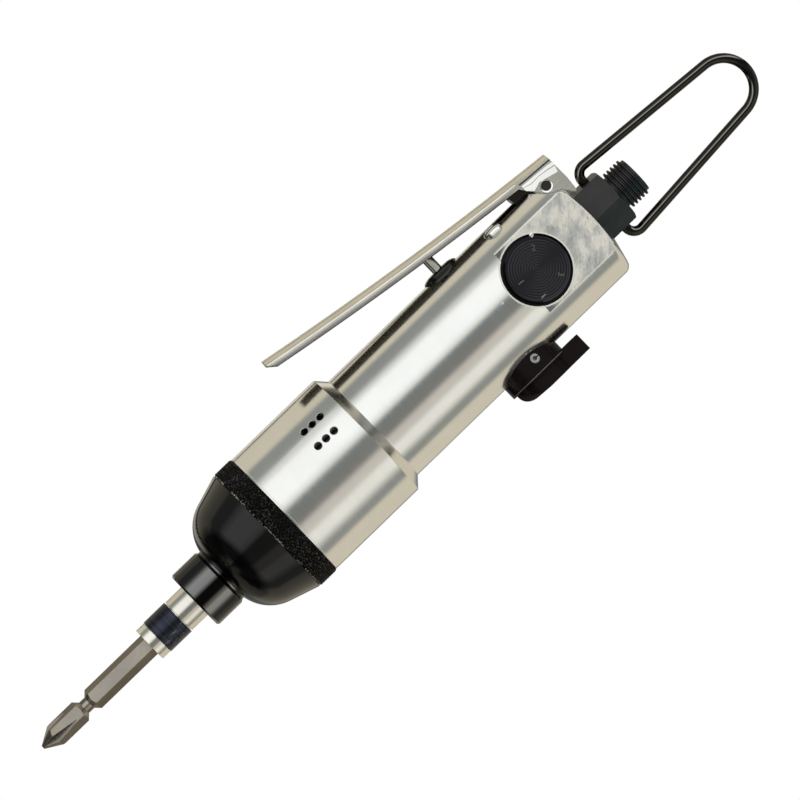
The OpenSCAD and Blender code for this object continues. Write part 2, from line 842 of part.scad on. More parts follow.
module motor_vanes() {
    color([0.35, 0.22, 0.12])
    for (k = [0:vane_count - 1])
        rotate([k * turn / vane_count, 0, 0])
            translate([rotor_front_x, -vane_t / 2, vane_root_r + seat])
                cube([rotor_rear_x - rotor_front_x, vane_t, vane_h]);
}

module rear_plate() {
    color([0.55, 0.56, 0.58])
    difference() {
        bar(rear_plate_x, gasket_x, stack_dia);
        bar(rear_plate_x - over, rear_bearing_x + rear_bearing_w, rear_bearing_od + seat);
        dowel_hole();
        plate_ports();
    }
}

// Groove from each air channel outwards, and the port at its end
module plate_ports() {
    for (side = [-1, 1]) {
        rotate([side * port_turn, 0, 0]) {
            translate([gasket_x - port_groove, -port_dia / 2, port_r / 2])
                cube([port_groove + over, port_dia, port_r / 2]);
            translate([0, 0, port_r]) bar(rear_plate_x - over, gasket_x + over, port_dia);
        }
    }
}

module rear_bearing_outer() {
    color([0.75, 0.75, 0.76])
    race(rear_bearing_x, rear_bearing_w, rear_bearing_od, rear_bearing_od - 2 * rear_race_t,
        rear_balls_r, rear_ball_dia);
}

module rear_bearing_inner() {
    color([0.75, 0.75, 0.76])
    race(rear_bearing_x, rear_bearing_w, rear_bearing_id + 2 * rear_race_t, rear_bearing_id,
        rear_balls_r, rear_ball_dia);
}

module rear_bearing_balls() {
    color([0.8, 0.8, 0.8])
    balls(rear_bearing_x + rear_bearing_w / 2, rear_balls_r, rear_ball_dia, rear_balls);
}

module motor_dowel() {
    color([0.7, 0.7, 0.7])
    translate([0, 0, -dowel_r]) bar(front_plate_x + fit, gasket_x - fit, dowel_dia);
}

module motor_gasket() {
    color([0.2, 0.2, 0.2])
    difference() {
        bar(gasket_x + seat, chamber_rear_x - seat, stack_dia);
        for (side = [-1, 1])
            translate([0, side * channel_y, channel_z])
                bar(gasket_x - over, chamber_rear_x + over, channel_dia);
    }
}

function crown_angle() = asin((lever_w / 2 - bend_r) / (crown_r - bend_r));
function crown_drop() = crown_r - (crown_r - bend_r) * cos(crown_angle());

// Half of the lever's outer section, from its middle line to its lower edge
function lever_outer() = concat(
    [for (k = [0:6]) let (a = crown_angle() * k / 6)
        [lever_bow_r + crown_r - crown_r * cos(a), crown_r * sin(a)]],
    [for (k = [1:4]) let (a = crown_angle() + (quarter - crown_angle()) * k / 4)
        [lever_bow_r + crown_drop() - bend_r * cos(a), lever_w / 2 - bend_r + bend_r * sin(a)]],
    [[lever_bow_r + lever_depth, lever_w / 2]]
);
function lever_inner() = concat(
    [[lever_bow_r + lever_depth, lever_w / 2 - lever_t]],
    [for (k = [6:-1:0]) let (a = asin((lever_w / 2 - lever_t) / (crown_r - lever_t)) * k / 6)
        [lever_bow_r + crown_r - (crown_r - lever_t) * cos(a), (crown_r - lever_t) * sin(a)]]
);
function lever_half() = concat(lever_outer(), lever_inner());

function bow_angle(x) = asin((x - bow_x) / lever_bow_r);

module throttle_lever() {
    tip_x = rear_x - lever_reach;
    tip_z = bow_z - lever_bow_r * cos(bow_angle(tip_x));
    tail_x = rear_x + lever_tail;
    start = bow_angle(tip_x - over);
    color([0.62, 0.6, 0.56])
    difference() {
        union() {
            intersection() {
                translate([bow_x, 0, bow_z]) rotate([90, 0, 0]) rotate([0, 0, start - quarter])
                    rotate_extrude(angle = bow_angle(tail_x + over) - start, $fn = lever_facets)
                        union() {
                            polygon(lever_half());
                            mirror([0, 1]) polygon(lever_half());
                        }
                translate([tip_x, -lever_w, 0]) cube([tail_x - tip_x, 2 * lever_w, 2 * lever_top_z]);
            }
            for (side = [-1, 1])
                translate([rear_x, side * (lever_w - ear_t) / 2, 0])
                    slab(-ear_t / 2, ear_t / 2) polygon(ear_points(ear_shares));
        }
        slab(-lever_w, lever_w) polygon([
            [tip_x - over, tip_z - tip_slant_z + tip_slant_z / tip_slant_x],
            [tip_x, tip_z - tip_slant_z],
            [tip_x + 2 * tip_slant_x, tip_z - 3 * tip_slant_z],
            [tip_x - over, tip_z - 3 * tip_slant_z]
        ]);
        cross(pivot_x, pivot_z, -lever_w, lever_w, pivot_dia + 2 * fit);
    }
}

module lever_pin() {
    color([0.5, 0.5, 0.5])
    cross(pivot_x, pivot_z, pin_recess - lever_w / 2, lever_w / 2 - pin_recess, pivot_dia);
}

module valve_stem() {
    color([0.72, 0.72, 0.72])
    union() {
        post(stem_x, stem_foot_z, stem_top_z - stem_dia / 4, stem_dia);
        translate([stem_x, 0, stem_top_z - stem_dia / 4])
            scale([1, 1, 1 / 2]) sphere(d = stem_dia, $fn = 32);
    }
}

module stem_bush() {
    color([0.05, 0.05, 0.05])
    difference() {
        translate([stem_x, 0, 0]) rotate_extrude() polygon(concat(
            [[stem_dia / 2 + fit, bush_foot_z], [bush_dia / 2, bush_foot_z], [bush_dia / 2, bush_edge_z]],
            [for (k = [1:4]) [
                bush_dia / 2 * cos(k * bush_dome_angle / 4),
                bush_edge_z + (bush_top_z - bush_edge_z) * sin(k * quarter / 4)
            ]],
            [[stem_dia / 2 + fit, bush_top_z]]
        ));
        translate([stem_x, 0, stem_oring_z]) rotate_extrude()
            translate([stem_dia / 2, 0]) square([oring_t + fit, oring_t + 2 * fit]);
    }
}

module stem_oring() {
    color([0.1, 0.1, 0.1])
    translate([stem_x, 0, stem_oring_z + oring_t / 2 + fit]) rotate_extrude()
        translate([stem_dia / 2 + oring_t / 2 + seat, 0]) circle(d = oring_t, $fn = 24);
}

module throttle_valve() {
    color([0.3, 0.3, 0.32]) post(stem_x, valve_top_z - throttle_t, valve_top_z, throttle_dia);
}

module throttle_spring() {
    color([0.6, 0.6, 0.6])
    difference() {
        post(stem_x, chamber_floor_z + seat, valve_top_z - throttle_t - seat, throttle_spring_dia);
        post(stem_x, chamber_floor_z - over, valve_top_z, throttle_spring_bore);
    }
}

module reverse_valve() {
    color([0.55, 0.5, 0.4])
    difference() {
        union() {
            post(stem_x, reverse_foot_z, reverse_top_z, reverse_dia);
            post(stem_x, tail_foot_z, reverse_foot_z + over, tail_dia);
        }
        post(stem_x, chamber_floor_z, valve_top_z + seat, valve_chamber_dia);
        post(stem_x, valve_top_z, reverse_top_z + over, seat_dia);
        post(stem_x, valve_top_z + seat_t, reverse_top_z + over, valve_chamber_dia);
        translate([stem_x, 0, 0]) rotate([0, 0, knob_turn]) {
            translate([0, -slot_w / 2, slot_low_z]) cube([reverse_dia, slot_w, slot_high_z - slot_low_z]);
            translate([-reverse_dia, -window_w / 2, valve_top_z + seat_t])
                cube([reverse_dia, window_w, reverse_top_z]);
        }
        for (z = [reverse_foot_z + oring_t, seal_top_z])
            translate([stem_x, 0, z - oring_t / 2 - fit]) difference() {
                cylinder(h = oring_t / 2 + 2 * fit, d = reverse_dia + over);
                cylinder(h = oring_t / 2 + 2 * fit, d = reverse_dia - oring_t);
            }
        knob_pin_hole();
    }
}

// Place at a distance from the knob's axis, in line with its stop ball
module at_stop(r) {
    translate([stem_x, 0, stop_z]) rotate([0, 0, knob_turn + quarter]) translate([r, 0, 0]) children();
}

module knob_pin_hole() {
    translate([stem_x, 0, roll_z]) rotate([0, 0, knob_turn])
        cross(0, 0, -hub_dia, hub_dia, roll_dia + seat);
}

module reverse_orings() {
    color([0.1, 0.1, 0.1])
    for (z = [reverse_foot_z + oring_t, seal_top_z])
        translate([stem_x, 0, z - oring_t / 4]) rotate_extrude()
            translate([reverse_dia / 2 - oring_t / 4, 0]) circle(d = oring_t / 2, $fn = 24);
}

// The knob's plate from above: a round nose and a tab with a rounded end
module knob_outline() {
    circle(r = plate_nose_len);
    translate([0, -knob_tab_w / 2]) square([knob_tab_len / 2, knob_tab_w]);
    intersection() {
        translate([0, -knob_tab_w / 2]) square([knob_tab_len, knob_tab_w]);
        translate([knob_tab_len - tab_round_r, 0]) circle(r = tab_round_r);
    }
}

module reverse_knob() {
    color([0.06, 0.06, 0.06])
    difference() {
        union() {
            post(stem_x, hub_foot_z - over, hub_top_z, hub_dia);
            translate([stem_x, 0, 0]) rotate([0, 0, knob_turn]) intersection() {
                slab(-hub_dia, hub_dia) polygon(concat(
                    [[knob_tab_len, hub_foot_z], [knob_tab_len, hub_foot_z - knob_plate_h]],
                    [for (k = [0:8]) [
                        plate_nose_curve - plate_nose_len - plate_nose_curve * sin(k * quarter / 8),
                        hub_foot_z - knob_plate_h * cos(k * quarter / 8)
                    ]]
                ));
                translate([0, 0, hub_foot_z - knob_plate_h - over])
                    linear_extrude(height = knob_plate_h + 2 * over) knob_outline();
            }
        }
        post(stem_x, tail_foot_z - slip, hub_top_z + over, tail_dia + 2 * fit);
        at_stop(stop_hole_r) rotate([0, quarter, 0]) cylinder(h = hub_dia, d = stop_ball_dia + slip);
        knob_pin_hole();
    }
}

module reverse_pin() {
    color([0.25, 0.25, 0.25])
    translate([stem_x, 0, roll_z]) rotate([0, 0, knob_turn])
    difference() {
        cross(0, 0, -roll_len / 2, roll_len / 2, roll_dia);
        cross(0, 0, -roll_len, roll_len, roll_bore);
        translate([0, -roll_len, -roll_slit / 2]) cube([roll_dia, 2 * roll_len, roll_slit]);
    }
}

module reverse_ball() {
    color([0.8, 0.8, 0.8])
    at_stop(stop_ball_r) sphere(d = stop_ball_dia, $fn = 48);
}

module reverse_spring() {
    color([0.6, 0.6, 0.6])
    at_stop(stop_hole_r + seat) rotate([0, quarter, 0])
    difference() {
        cylinder(
            h = stop_ball_r - stop_hole_r - seat - spring_seat(stop_ball_dia, stop_spring_bore),
            d = stop_spring_dia
        );
        translate([0, 0, -over]) cylinder(h = stop_ball_dia + stop_hole_r, d = stop_spring_bore);
    }
}

// Disc as thick as the spool's O-ring groove, and some overrun
module spool_disc(d, extra) {
    y0 = spool_oring_y - oring_t / 2 - fit;
    cross(dial_x, 0, y0 - extra, y0 + oring_t + 2 * fit + extra, d);
}

module regulator_dial() {
    color([0.07, 0.07, 0.07])
    difference() {
        union() {
            cross(dial_x, 0, dial_face - side_flat_dist, dial_face + dial_t - side_flat_dist, dial_dia);
            cross(dial_x, 0, -side_flat_dist, over - spool_front, neck_core_dia);
            cross(dial_x, 0, -spool_front, spool_end, spool_dia);
        }
        translate([dial_x, 0, 0])
            for (k = [0:2])
                rotate([0, k * sixth, 0]) bar(-spool_dia, spool_dia, port_dias[k]);
        difference() {
            spool_disc(spool_dia + over, 0);
            spool_disc(spool_dia - 2 * oring_t - 2 * seat, over);
        }
    }
}

module regulator_oring() {
    color([0.1, 0.1, 0.1])
    translate([dial_x, spool_oring_y, 0]) rotate([90, 0, 0]) rotate_extrude()
        translate([spool_dia / 2 - oring_t / 2, 0]) circle(d = oring_t, $fn = 24);
}

module detent_screw() {
    color([0.75, 0.75, 0.75])
    translate([0, detent_y, 0])
    union() {
        post(detent_x, screw_foot_z, screw_top_z, screw_dia);
        translate([detent_x, 0, screw_top_z])
            scale([1, 1, screw_dome * 2 / screw_dia]) sphere(d = screw_dia, $fn = 64);
    }
}

module detent_spring() {
    detent_spring_z = detent_ball_z + spring_seat(detent_ball_dia, detent_spring_bore);
    color([0.6, 0.6, 0.6])
    translate([0, detent_y, 0])
    difference() {
        post(detent_x, detent_spring_z, screw_foot_z - seat, detent_spring_dia);
        post(detent_x, detent_ball_z, screw_foot_z + over, detent_spring_bore);
    }
}

module detent_ball() {
    color([0.8, 0.8, 0.8])
    translate([detent_x, detent_y, detent_ball_z]) sphere(d = detent_ball_dia, $fn = 48);
}

module inlet_fitting() {
    crest = thread_pitch * crest_share;
    flank = (thread_pitch - 2 * crest) / 2;
    crest_r = thread_dia / 2;
    root_r = crest_r - thread_depth;
    thread_end_x = thread_crests * thread_pitch;
    hex_r = inlet_af * corner_share / 2;
    hex_end_x = rear_x + inlet_hex_len;
    color([0.13, 0.14, 0.15])
    difference() {
        union() {
            bar(rear_x - stub_len, rear_x + over, stub_dia);
            rotate([inlet_turn, 0, 0]) intersection() {
                hex_bar(rear_x, hex_end_x, inlet_af);
                turned([
                    [rear_x, 0], [rear_x, hex_r],
                    [hex_end_x - hex_chamfer / 2, hex_r],
                    [hex_end_x, hex_r - hex_chamfer],
                    [hex_end_x, 0]
                ]);
            }
            turned(concat(
                [[hex_end_x - over, 0], [hex_end_x - over, inlet_neck_dia / 2]],
                [[-crest, inlet_neck_dia / 2]],
                [for (k = [0:thread_crests - 1]) for (p = [
                    [k * thread_pitch - crest / 2, crest_r],
                    [k * thread_pitch + crest / 2, crest_r],
                    [k * thread_pitch + crest / 2 + flank, root_r],
                    [k * thread_pitch + crest * 3 / 2 + flank, root_r]
                ]) p],
                [[thread_end_x, root_r], [thread_end_x, 0]]
            ));
        }
        bar(rear_x - stub_len - over, thread_end_x + over, inlet_bore);
        bar(rear_x - stub_len - over, rear_x - screen_setback + screen_t, screen_dia + slip);
        tube(rear_x - seal_t - fit, rear_x - fit, stub_dia + over, seal_groove_dia);
        rotate([inlet_turn, 0, 0])
            for (side = [-1, 1])
                scale([1, 1, side]) post(hanger_x, hanger_hole_z, inlet_af, hanger_hole_dia);
    }
}

module inlet_seal() {
    color([0.1, 0.1, 0.1]) ring(rear_x - seal_t / 2 - fit, seal_groove_dia / 2 + seal_t / 2 + seat, seal_t);
}

module inlet_screen() {
    color([0.7, 0.7, 0.68])
    difference() {
        bar(rear_x - screen_setback, rear_x - screen_setback + screen_t - seat, screen_dia);
        for (j = [-screen_rows:screen_rows])
            for (k = [-screen_rows:screen_rows])
                if (norm([j, k]) * screen_pitch < screen_dia / 2 - screen_rim)
                    translate([0, j * screen_pitch, k * screen_pitch])
                        bar(rear_x - 2 * screen_setback, rear_x, screen_hole_dia);
    }
}

// Bent piece of the hanger's wire
module wire_bend(x, z, r, a0, a1) {
    translate([x, 0, z]) rotate([90, 0, 0]) rotate([0, 0, a0])
        rotate_extrude(angle = a1 - a0) translate([r, 0]) circle(d = wire_dia - seat, $fn = 32);
}

module hanger() {
    bend_x = hanger_x + hanger_bend_r;
    bow_end_x = hanger_x + hanger_len;
    leg_x = bend_x + hanger_bend_r * sin(hanger_taper);
    leg_z = hanger_bend_z + hanger_bend_r * cos(hanger_taper);
    leg_end_x = bow_end_x + hanger_bow_r * sin(hanger_taper);
    leg_len = (leg_end_x - leg_x) / cos(hanger_taper);
    color([0.2, 0.2, 0.22])
    rotate([inlet_turn, 0, 0])
    union() {
        for (side = [-1, 1])
            scale([1, 1, side]) {
                post(hanger_x, hanger_end_z, hanger_bend_z + slip, wire_dia);
                wire_bend(bend_x, hanger_bend_z, hanger_bend_r, quarter - hanger_taper, half_turn);
                translate([leg_x, 0, leg_z]) rotate([0, quarter + hanger_taper, 0])
                    translate([0, 0, -slip]) cylinder(h = leg_len + 2 * slip, d = wire_dia);
            }
        wire_bend(bow_end_x, 0, hanger_bow_r, hanger_taper - quarter, quarter - hanger_taper);
    }
}

housing();
hammer_case();
lock_ring();
case_bush();
anvil();
spring_band();
bit_ball();
driver_bit();
hammer_cage();
hammer_front();
hammer_rear();
hammer_pins();
spacer_ring();
front_plate();
front_bearing_outer();
front_bearing_inner();
front_bearing_balls();
motor_liner();
rotor();
motor_vanes();
rear_plate();
rear_bearing_outer();
rear_bearing_inner();
rear_bearing_balls();
motor_dowel();
motor_gasket();
throttle_lever();
lever_pin();
valve_stem();
stem_bush();
stem_oring();
throttle_valve();
throttle_spring();
reverse_valve();
reverse_orings();
reverse_knob();
reverse_pin();
reverse_ball();
reverse_spring();
regulator_dial();
regulator_oring();
detent_screw();
detent_spring();
detent_ball();
inlet_fitting();
inlet_seal();
inlet_screen();
hanger();
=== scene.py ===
import math

import bmesh
import bpy
from mathutils import Matrix, Vector


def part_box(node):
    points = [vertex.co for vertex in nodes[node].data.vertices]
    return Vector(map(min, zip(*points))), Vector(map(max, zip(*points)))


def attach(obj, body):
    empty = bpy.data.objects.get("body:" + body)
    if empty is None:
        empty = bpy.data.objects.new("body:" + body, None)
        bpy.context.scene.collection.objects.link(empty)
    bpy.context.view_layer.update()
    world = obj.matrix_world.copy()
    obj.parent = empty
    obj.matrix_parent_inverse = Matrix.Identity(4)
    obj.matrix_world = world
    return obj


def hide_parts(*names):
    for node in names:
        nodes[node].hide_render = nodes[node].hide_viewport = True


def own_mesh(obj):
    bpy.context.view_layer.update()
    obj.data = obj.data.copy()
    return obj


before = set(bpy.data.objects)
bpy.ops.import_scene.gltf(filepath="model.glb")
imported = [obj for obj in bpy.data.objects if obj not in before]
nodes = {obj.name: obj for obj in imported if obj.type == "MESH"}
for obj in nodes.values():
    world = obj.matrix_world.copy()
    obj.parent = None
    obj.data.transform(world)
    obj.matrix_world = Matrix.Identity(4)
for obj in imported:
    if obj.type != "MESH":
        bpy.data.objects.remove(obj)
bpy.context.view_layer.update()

scene = bpy.context.scene

# Places and sizes in mm, as in the CAD source: the bit points to -X, the lever is up, the dial is at -Y
MM = 0.001
MICRON = 0.000001
X, Y, Z = 0, 1, 2


def corners(node):
    """Lowest and highest corner of a CAD node, in mm."""
    return [[round(c / MM, 2) for c in corner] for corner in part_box(node)]


def middle(node, axis):
    """Middle of a CAD node along one axis, in mm."""
    low, high = corners(node)
    return (low[axis] + high[axis]) / 2


REAR = corners("housing")[1][X]
DIAL_X = middle("regulator_dial", X)
STEM_X = middle("valve_stem", X)
PIN_X, PIN_Z = middle("lever_pin", X), middle("lever_pin", Z)
SCREW_X, SCREW_Y = middle("detent_screw", X), middle("detent_screw", Y)
RING_FRONT, RING_REAR = corners("lock_ring")[0][X], corners("lock_ring")[1][X]
BARREL_FRONT, BARREL_R = RING_REAR + 0.05, 22.0
NECK_REAR = corners("hammer_case")[0][X] + 11.0

# The handle's skin, its rear face's radius, the cone round that face, and the rounded edge between
HANDLE, FACE_R, CONE, EDGE_R = 18.8, 9.9, math.radians(14.5), 2.4
ARC_R = HANDLE - EDGE_R * (1 - math.sin(CONE))
ARC_X = REAR - (ARC_R - FACE_R) * math.tan(CONE)

# The milled flat: its distance from the axis, its half width, its front end, and the dial's pocket in it
FLAT = -corners("regulator_dial")[0][Y]
FLAT_HALF = math.sqrt(HANDLE ** 2 - FLAT ** 2)
FLAT_FRONT = REAR - 29.3
POCKET_X, POCKET_R = DIAL_X - 0.4, 10.63

# The space inside the barrel, in front of the handle's solid part
CHAMBER_X, CHAMBER_R = -103.5, 20.9

# The part of the lug in the lever's shade: its front and rear end, its lowest height, its half width
SHADE_FRONT, SHADE_REAR, SHADE_Z, SHADE_HALF = -34.0, -18.6, 15.0, 6.6

# Lower edge of the lever's side: z = foot + slope * ahead + bend * ahead ** 2, with ahead = -x
LEVER_FOOT, LEVER_SLOPE, LEVER_BEND = 18.43, 0.0833, 0.000428
LEVER_HALF = corners("throttle_lever")[1][Y]

# The photo: its width, its pixels to the millimetre, the bit's tip in it, and how far the tool leans in it
PHOTO_W = 800
PX = 3.42
TIP_PX = (45, 745)
TOOL_TURN = math.radians(44.12)

# Pixels along the tool from the bit's tip to the handle's rear end, and from that tip down to the tool's axis
REAR_PX = 760
AXIS_PX = 0.5

# The photo's centre: pixels along the tool from the bit's tip, and over the axis
CENTRE_PX = (495, 1.5)

# Pixels of one enlarged crop of the photo: its corner, its scale, and the lines read from it
CROP_PX, CROP_SCALE = (470, 140), 12.06
BAND_TOP_PX = [(600, 575), (700, 492), (800, 408), (900, 325), (975, 272)]
BAND_LOW_PX = [(655, 632), (755, 630), (815, 525), (930, 458), (1035, 398)]
# Points of the line of painted shade under the band's bend
BEND_SHADE_PX = [(572, 562), (700, 455), (820, 352), (938, 250)]


# Node helpers
def tree(name, metallic=0.0):
    """A new material, its node tree and its surface shader."""
    m = bpy.data.materials.new(name)
    m.use_nodes = True
    shader = m.node_tree.nodes["Principled BSDF"]
    shader.inputs["Metallic"].default_value = metallic
    return m, m.node_tree, shader


def noise(t, scale, size, detail, rough, turn=0):
    """Noise on the object's own coordinates, which are turned about Y by degrees, then scaled."""
    source = t.nodes.new("ShaderNodeTexCoord").outputs["Object"]
    if turn:
        lean = t.nodes.new("ShaderNodeVectorRotate")
        lean.rotation_type = "Y_AXIS"
        lean.inputs["Angle"].default_value = math.radians(turn)
        t.links.new(source, lean.inputs["Vector"])
        source = lean.outputs["Vector"]
    mapping = t.nodes.new("ShaderNodeMapping")
    mapping.inputs["Scale"].default_value = scale
    t.links.new(source, mapping.inputs["Vector"])
    n = t.nodes.new("ShaderNodeTexNoise")
    n.inputs["Scale"].default_value = size
    n.inputs["Detail"].default_value = detail
    n.inputs["Roughness"].default_value = rough
    t.links.new(mapping.outputs["Vector"], n.inputs["Vector"])
    return n.outputs["Fac"]


def ramp(t, factor, stops):
    """Colour ramp; a stop is a position with a grey value or a colour."""
    r = t.nodes.new("ShaderNodeValToRGB")
    elements = r.color_ramp.elements
    while len(elements) < len(stops):
        elements.new(0.5)
    for element, (position, shade) in zip(elements, stops):
        color = shade if isinstance(shade, tuple) else (shade, shade, shade)
        element.position = position
        element.color = (*color, 1.0)
    t.links.new(factor, r.inputs["Fac"])
    return r.outputs["Color"]


def blend(t, factor, a, b):
    """Mix of two colours, each a socket or a plain colour."""
    m = t.nodes.new("ShaderNodeMix")
    m.data_type = "RGBA"
    t.links.new(factor, m.inputs["Factor"])
    colors = [socket for socket in m.inputs if socket.type == "RGBA"]
    for socket, value in zip(colors, (a, b)):
        if isinstance(value, tuple):
            socket.default_value = (*value, 1.0)
        else:
            t.links.new(value, socket)
    return [socket for socket in m.outputs if socket.type == "RGBA"][0]


def worn_edge(t, radius):
    """Normal of an edge rounded to this radius in mm, or nothing for no radius."""
    if not radius:
        return None
    b = t.nodes.new("ShaderNodeBevel")
    b.samples = 4
    b.inputs["Radius"].default_value = radius * MM
    return b.outputs["Normal"]


def bump(t, shader, height, microns, normal=None):
    """Relief of so many micrometres on the shader, over an earlier normal."""
    b = t.nodes.new("ShaderNodeBump")
    b.inputs["Strength"].default_value = 1.0
    b.inputs["Distance"].default_value = microns * MICRON
    t.links.new(height, b.inputs["Height"])
    if normal is not None:
        t.links.new(normal, b.inputs["Normal"])
    t.links.new(b.outputs["Normal"], shader.inputs["Normal"])
    return b.outputs["Normal"]


def dress(t, shader, color, rough):
    """Gives the shader its colour and its roughness."""
    t.links.new(color, shader.inputs["Base Color"])
    t.links.new(rough, shader.inputs["Roughness"])


def calculate(t, kind, *values):
    """A math node; products and sums are kept between 0 and 1."""
    n = t.nodes.new("ShaderNodeMath")
    n.operation = kind
    n.use_clamp = kind in ("MULTIPLY", "ADD")
    for socket, value in zip(n.inputs, values):
        if isinstance(value, (int, float)):
            socket.default_value = value
        else:
            t.links.new(value, socket)
    return n.outputs[0]


def product(t, first, *others):
    """Product of several values, which for masks is where they all hold."""
    for other in others:
        first = calculate(t, "MULTIPLY", first, other)
    return first


def distance(t, a, b):
    """Root of a squared plus b squared."""
    return calculate(t, "SQRT", calculate(t, "ADD", product(t, a, a), product(t, b, b)))


def share(t, value, span):
    """A value in metres as a share of a span in mm."""
    return calculate(t, "MULTIPLY", value, 1 / (span * MM))


def over(t, value, limit):
    """1 where a value in metres lies over a limit in mm."""
    return calculate(t, "GREATER_THAN", value, limit * MM)


def under(t, value, limit):
    """1 where a value in metres lies under a limit in mm."""
    return calculate(t, "LESS_THAN", value, limit * MM)


def part_of(t, coordinate, axis):
    """One axis of a texture coordinate."""
    source = t.nodes.new("ShaderNodeTexCoord").outputs[coordinate]
    separate = t.nodes.new("ShaderNodeSeparateXYZ")
    t.links.new(source, separate.inputs[0])
    return separate.outputs[axis]


def place(t, axis):
    """A point's own X, Y or Z on its object, in metres."""
    return part_of(t, "Object", axis)


def facing(t, axis):
    """How far the surface faces along one axis of its object, from -1 to 1."""
    return part_of(t, "Normal", axis)


# Materials
EVEN = (1, 1, 1)
RINGS = (1, 0.03, 0.03)
ALONG = (0.08, 1, 1)
CUTTER_TURN = -43
ROUGH_SPREAD = 0.06


def metal(name, dark, light, rough, grain=EVEN, size=900.0, relief=6, edge=0.0):
    """Metal with its grain along one direction and a slow change of shade."""
    m, t, shader = tree(name, 1.0)
    fine = noise(t, grain, size, 3.0, 0.7)
    slow = noise(t, EVEN, 90.0, 3.0, 0.5)
    color = ramp(t, slow, [(0.3, dark), (0.7, light)])
    dress(t, shader, color, ramp(t, fine, [(0.25, rough - ROUGH_SPREAD), (0.75, rough + ROUGH_SPREAD)]))
    bump(t, shader, fine, relief, worn_edge(t, edge))
    return m


def coat(name, dark, light, rough, relief=6, edge=0.0, ior=1.5):
    """Smooth finish with a slight ripple and dust-fine roughness."""
    m, t, shader = tree(name)
    shader.inputs["IOR"].default_value = ior
    slow = noise(t, EVEN, 60.0, 3.0, 0.6)
    fine = noise(t, EVEN, 900.0, 3.0, 0.6)
    color = ramp(t, slow, [(0.3, dark), (0.75, light)])
    dress(t, shader, color, ramp(t, fine, [(0.3, rough * 0.8), (0.8, rough * 1.25)]))
    bump(t, shader, slow, relief, worn_edge(t, edge))
    return m


def on_flat(t):
    """The milled flat: it faces -Y, at its own depth, in the rear part only."""
    slack = 0.2
    return product(t, calculate(t, "LESS_THAN", facing(t, Y), -0.97), over(t, place(t, X), FLAT_FRONT),
                   under(t, place(t, Y), -FLAT + slack), over(t, place(t, Y), -FLAT - slack))


# Where shade is painted inside the barrel, in front of the handle's solid part
def chamber_shade_mask(t):
    return product(t, under(t, place(t, X), CHAMBER_X),
                   under(t, distance(t, place(t, Y), place(t, Z)), CHAMBER_R))


def pocket_shade_mask(t):
    """Where shade is painted in the dial's pocket, on its own side of the tool's axis."""
    bottom = -4.0
    from_middle = calculate(t, "SUBTRACT", place(t, X), POCKET_X * MM)
    return product(t, under(t, distance(t, from_middle, place(t, Z)), POCKET_R),
                   under(t, place(t, Y), bottom))


def on_lug(t):
    """The lug's front and the top beside it, which lie in the lever's shade."""
    return product(t, under(t, place(t, X), SHADE_REAR), over(t, place(t, Z), SHADE_Z),
                   over(t, place(t, X), SHADE_FRONT),
                   under(t, calculate(t, "ABSOLUTE", place(t, Y)), SHADE_HALF))


def milled_shade(t, patch):
    """Patches left by the cutter, dark nicks, and a darker corner at the flat's front."""
    span, start, full = 50, 34.5, 38.75
    nick = noise(t, (2.6, 0.4, 0.55), 900.0, 3.0, 0.7, CUTTER_TURN)
    shade = ramp(t, patch, [(0.40, (0.60, 0.61, 0.60)), (0.50, (0.74, 0.73, 0.70)),
                            (0.60, (0.92, 0.88, 0.82))])
    shade = blend(t, ramp(t, nick, [(0.32, 0.8), (0.41, 0.0)]), shade, (0.42, 0.43, 0.41))
    corner = ramp(t, share(t, place(t, X), -span), [(start / span, 0.0), (full / span, 1.0)])
    return blend(t, corner, shade, (0.20, 0.205, 0.20))


def cast_body():
    """The casting: turned satin outside, a milled flat with cutter marks, painted shade in the machined
    hollows and on the lug under the lever.
    """
    m, t, shader = tree("satin_aluminium", 1.0)
    grain = noise(t, RINGS, 2600.0, 3.0, 0.7)
    slow = noise(t, EVEN, 90.0, 3.0, 0.5)
    cutter = noise(t, (1.0, 0.2, 0.16), 1500.0, 4.0, 0.75, CUTTER_TURN)
    patch = noise(t, (1.0, 0.4, 0.50), 300.0, 4.0, 0.62, CUTTER_TURN)
    flat = on_flat(t)
    color = ramp(t, slow, [(0.3, (0.69, 0.69, 0.68)), (0.7, (0.73, 0.73, 0.72))])
    color = blend(t, flat, color, milled_shade(t, patch))
    # Painted shade on the lug's front and the top beside it, under the lever
    color = blend(t, on_lug(t), color, (0.035, 0.028, 0.026))
    # Painted shade inside the barrel's chamber and in the dial's pocket
    color = blend(t, calculate(t, "MAXIMUM", chamber_shade_mask(t), pocket_shade_mask(t)), color, (0.03, 0.03, 0.03))
    satin_rough = ramp(t, grain, [(0.25, 0.12), (0.75, 0.22)])
    milled_rough = ramp(t, patch, [(0.36, 0.30), (0.64, 0.60)])
    dress(t, shader, color, blend(t, flat, satin_rough, milled_rough))
    normal = bump(t, shader, grain, 3.0, worn_edge(t, 0.32))
    normal = bump(t, shader, noise(t, EVEN, 1400.0, 2.0, 0.6), 1.2, normal)
    normal = bump(t, shader, product(t, flat, cutter), 40, normal)
    bump(t, shader, product(t, flat, patch), 220, normal)
    return m


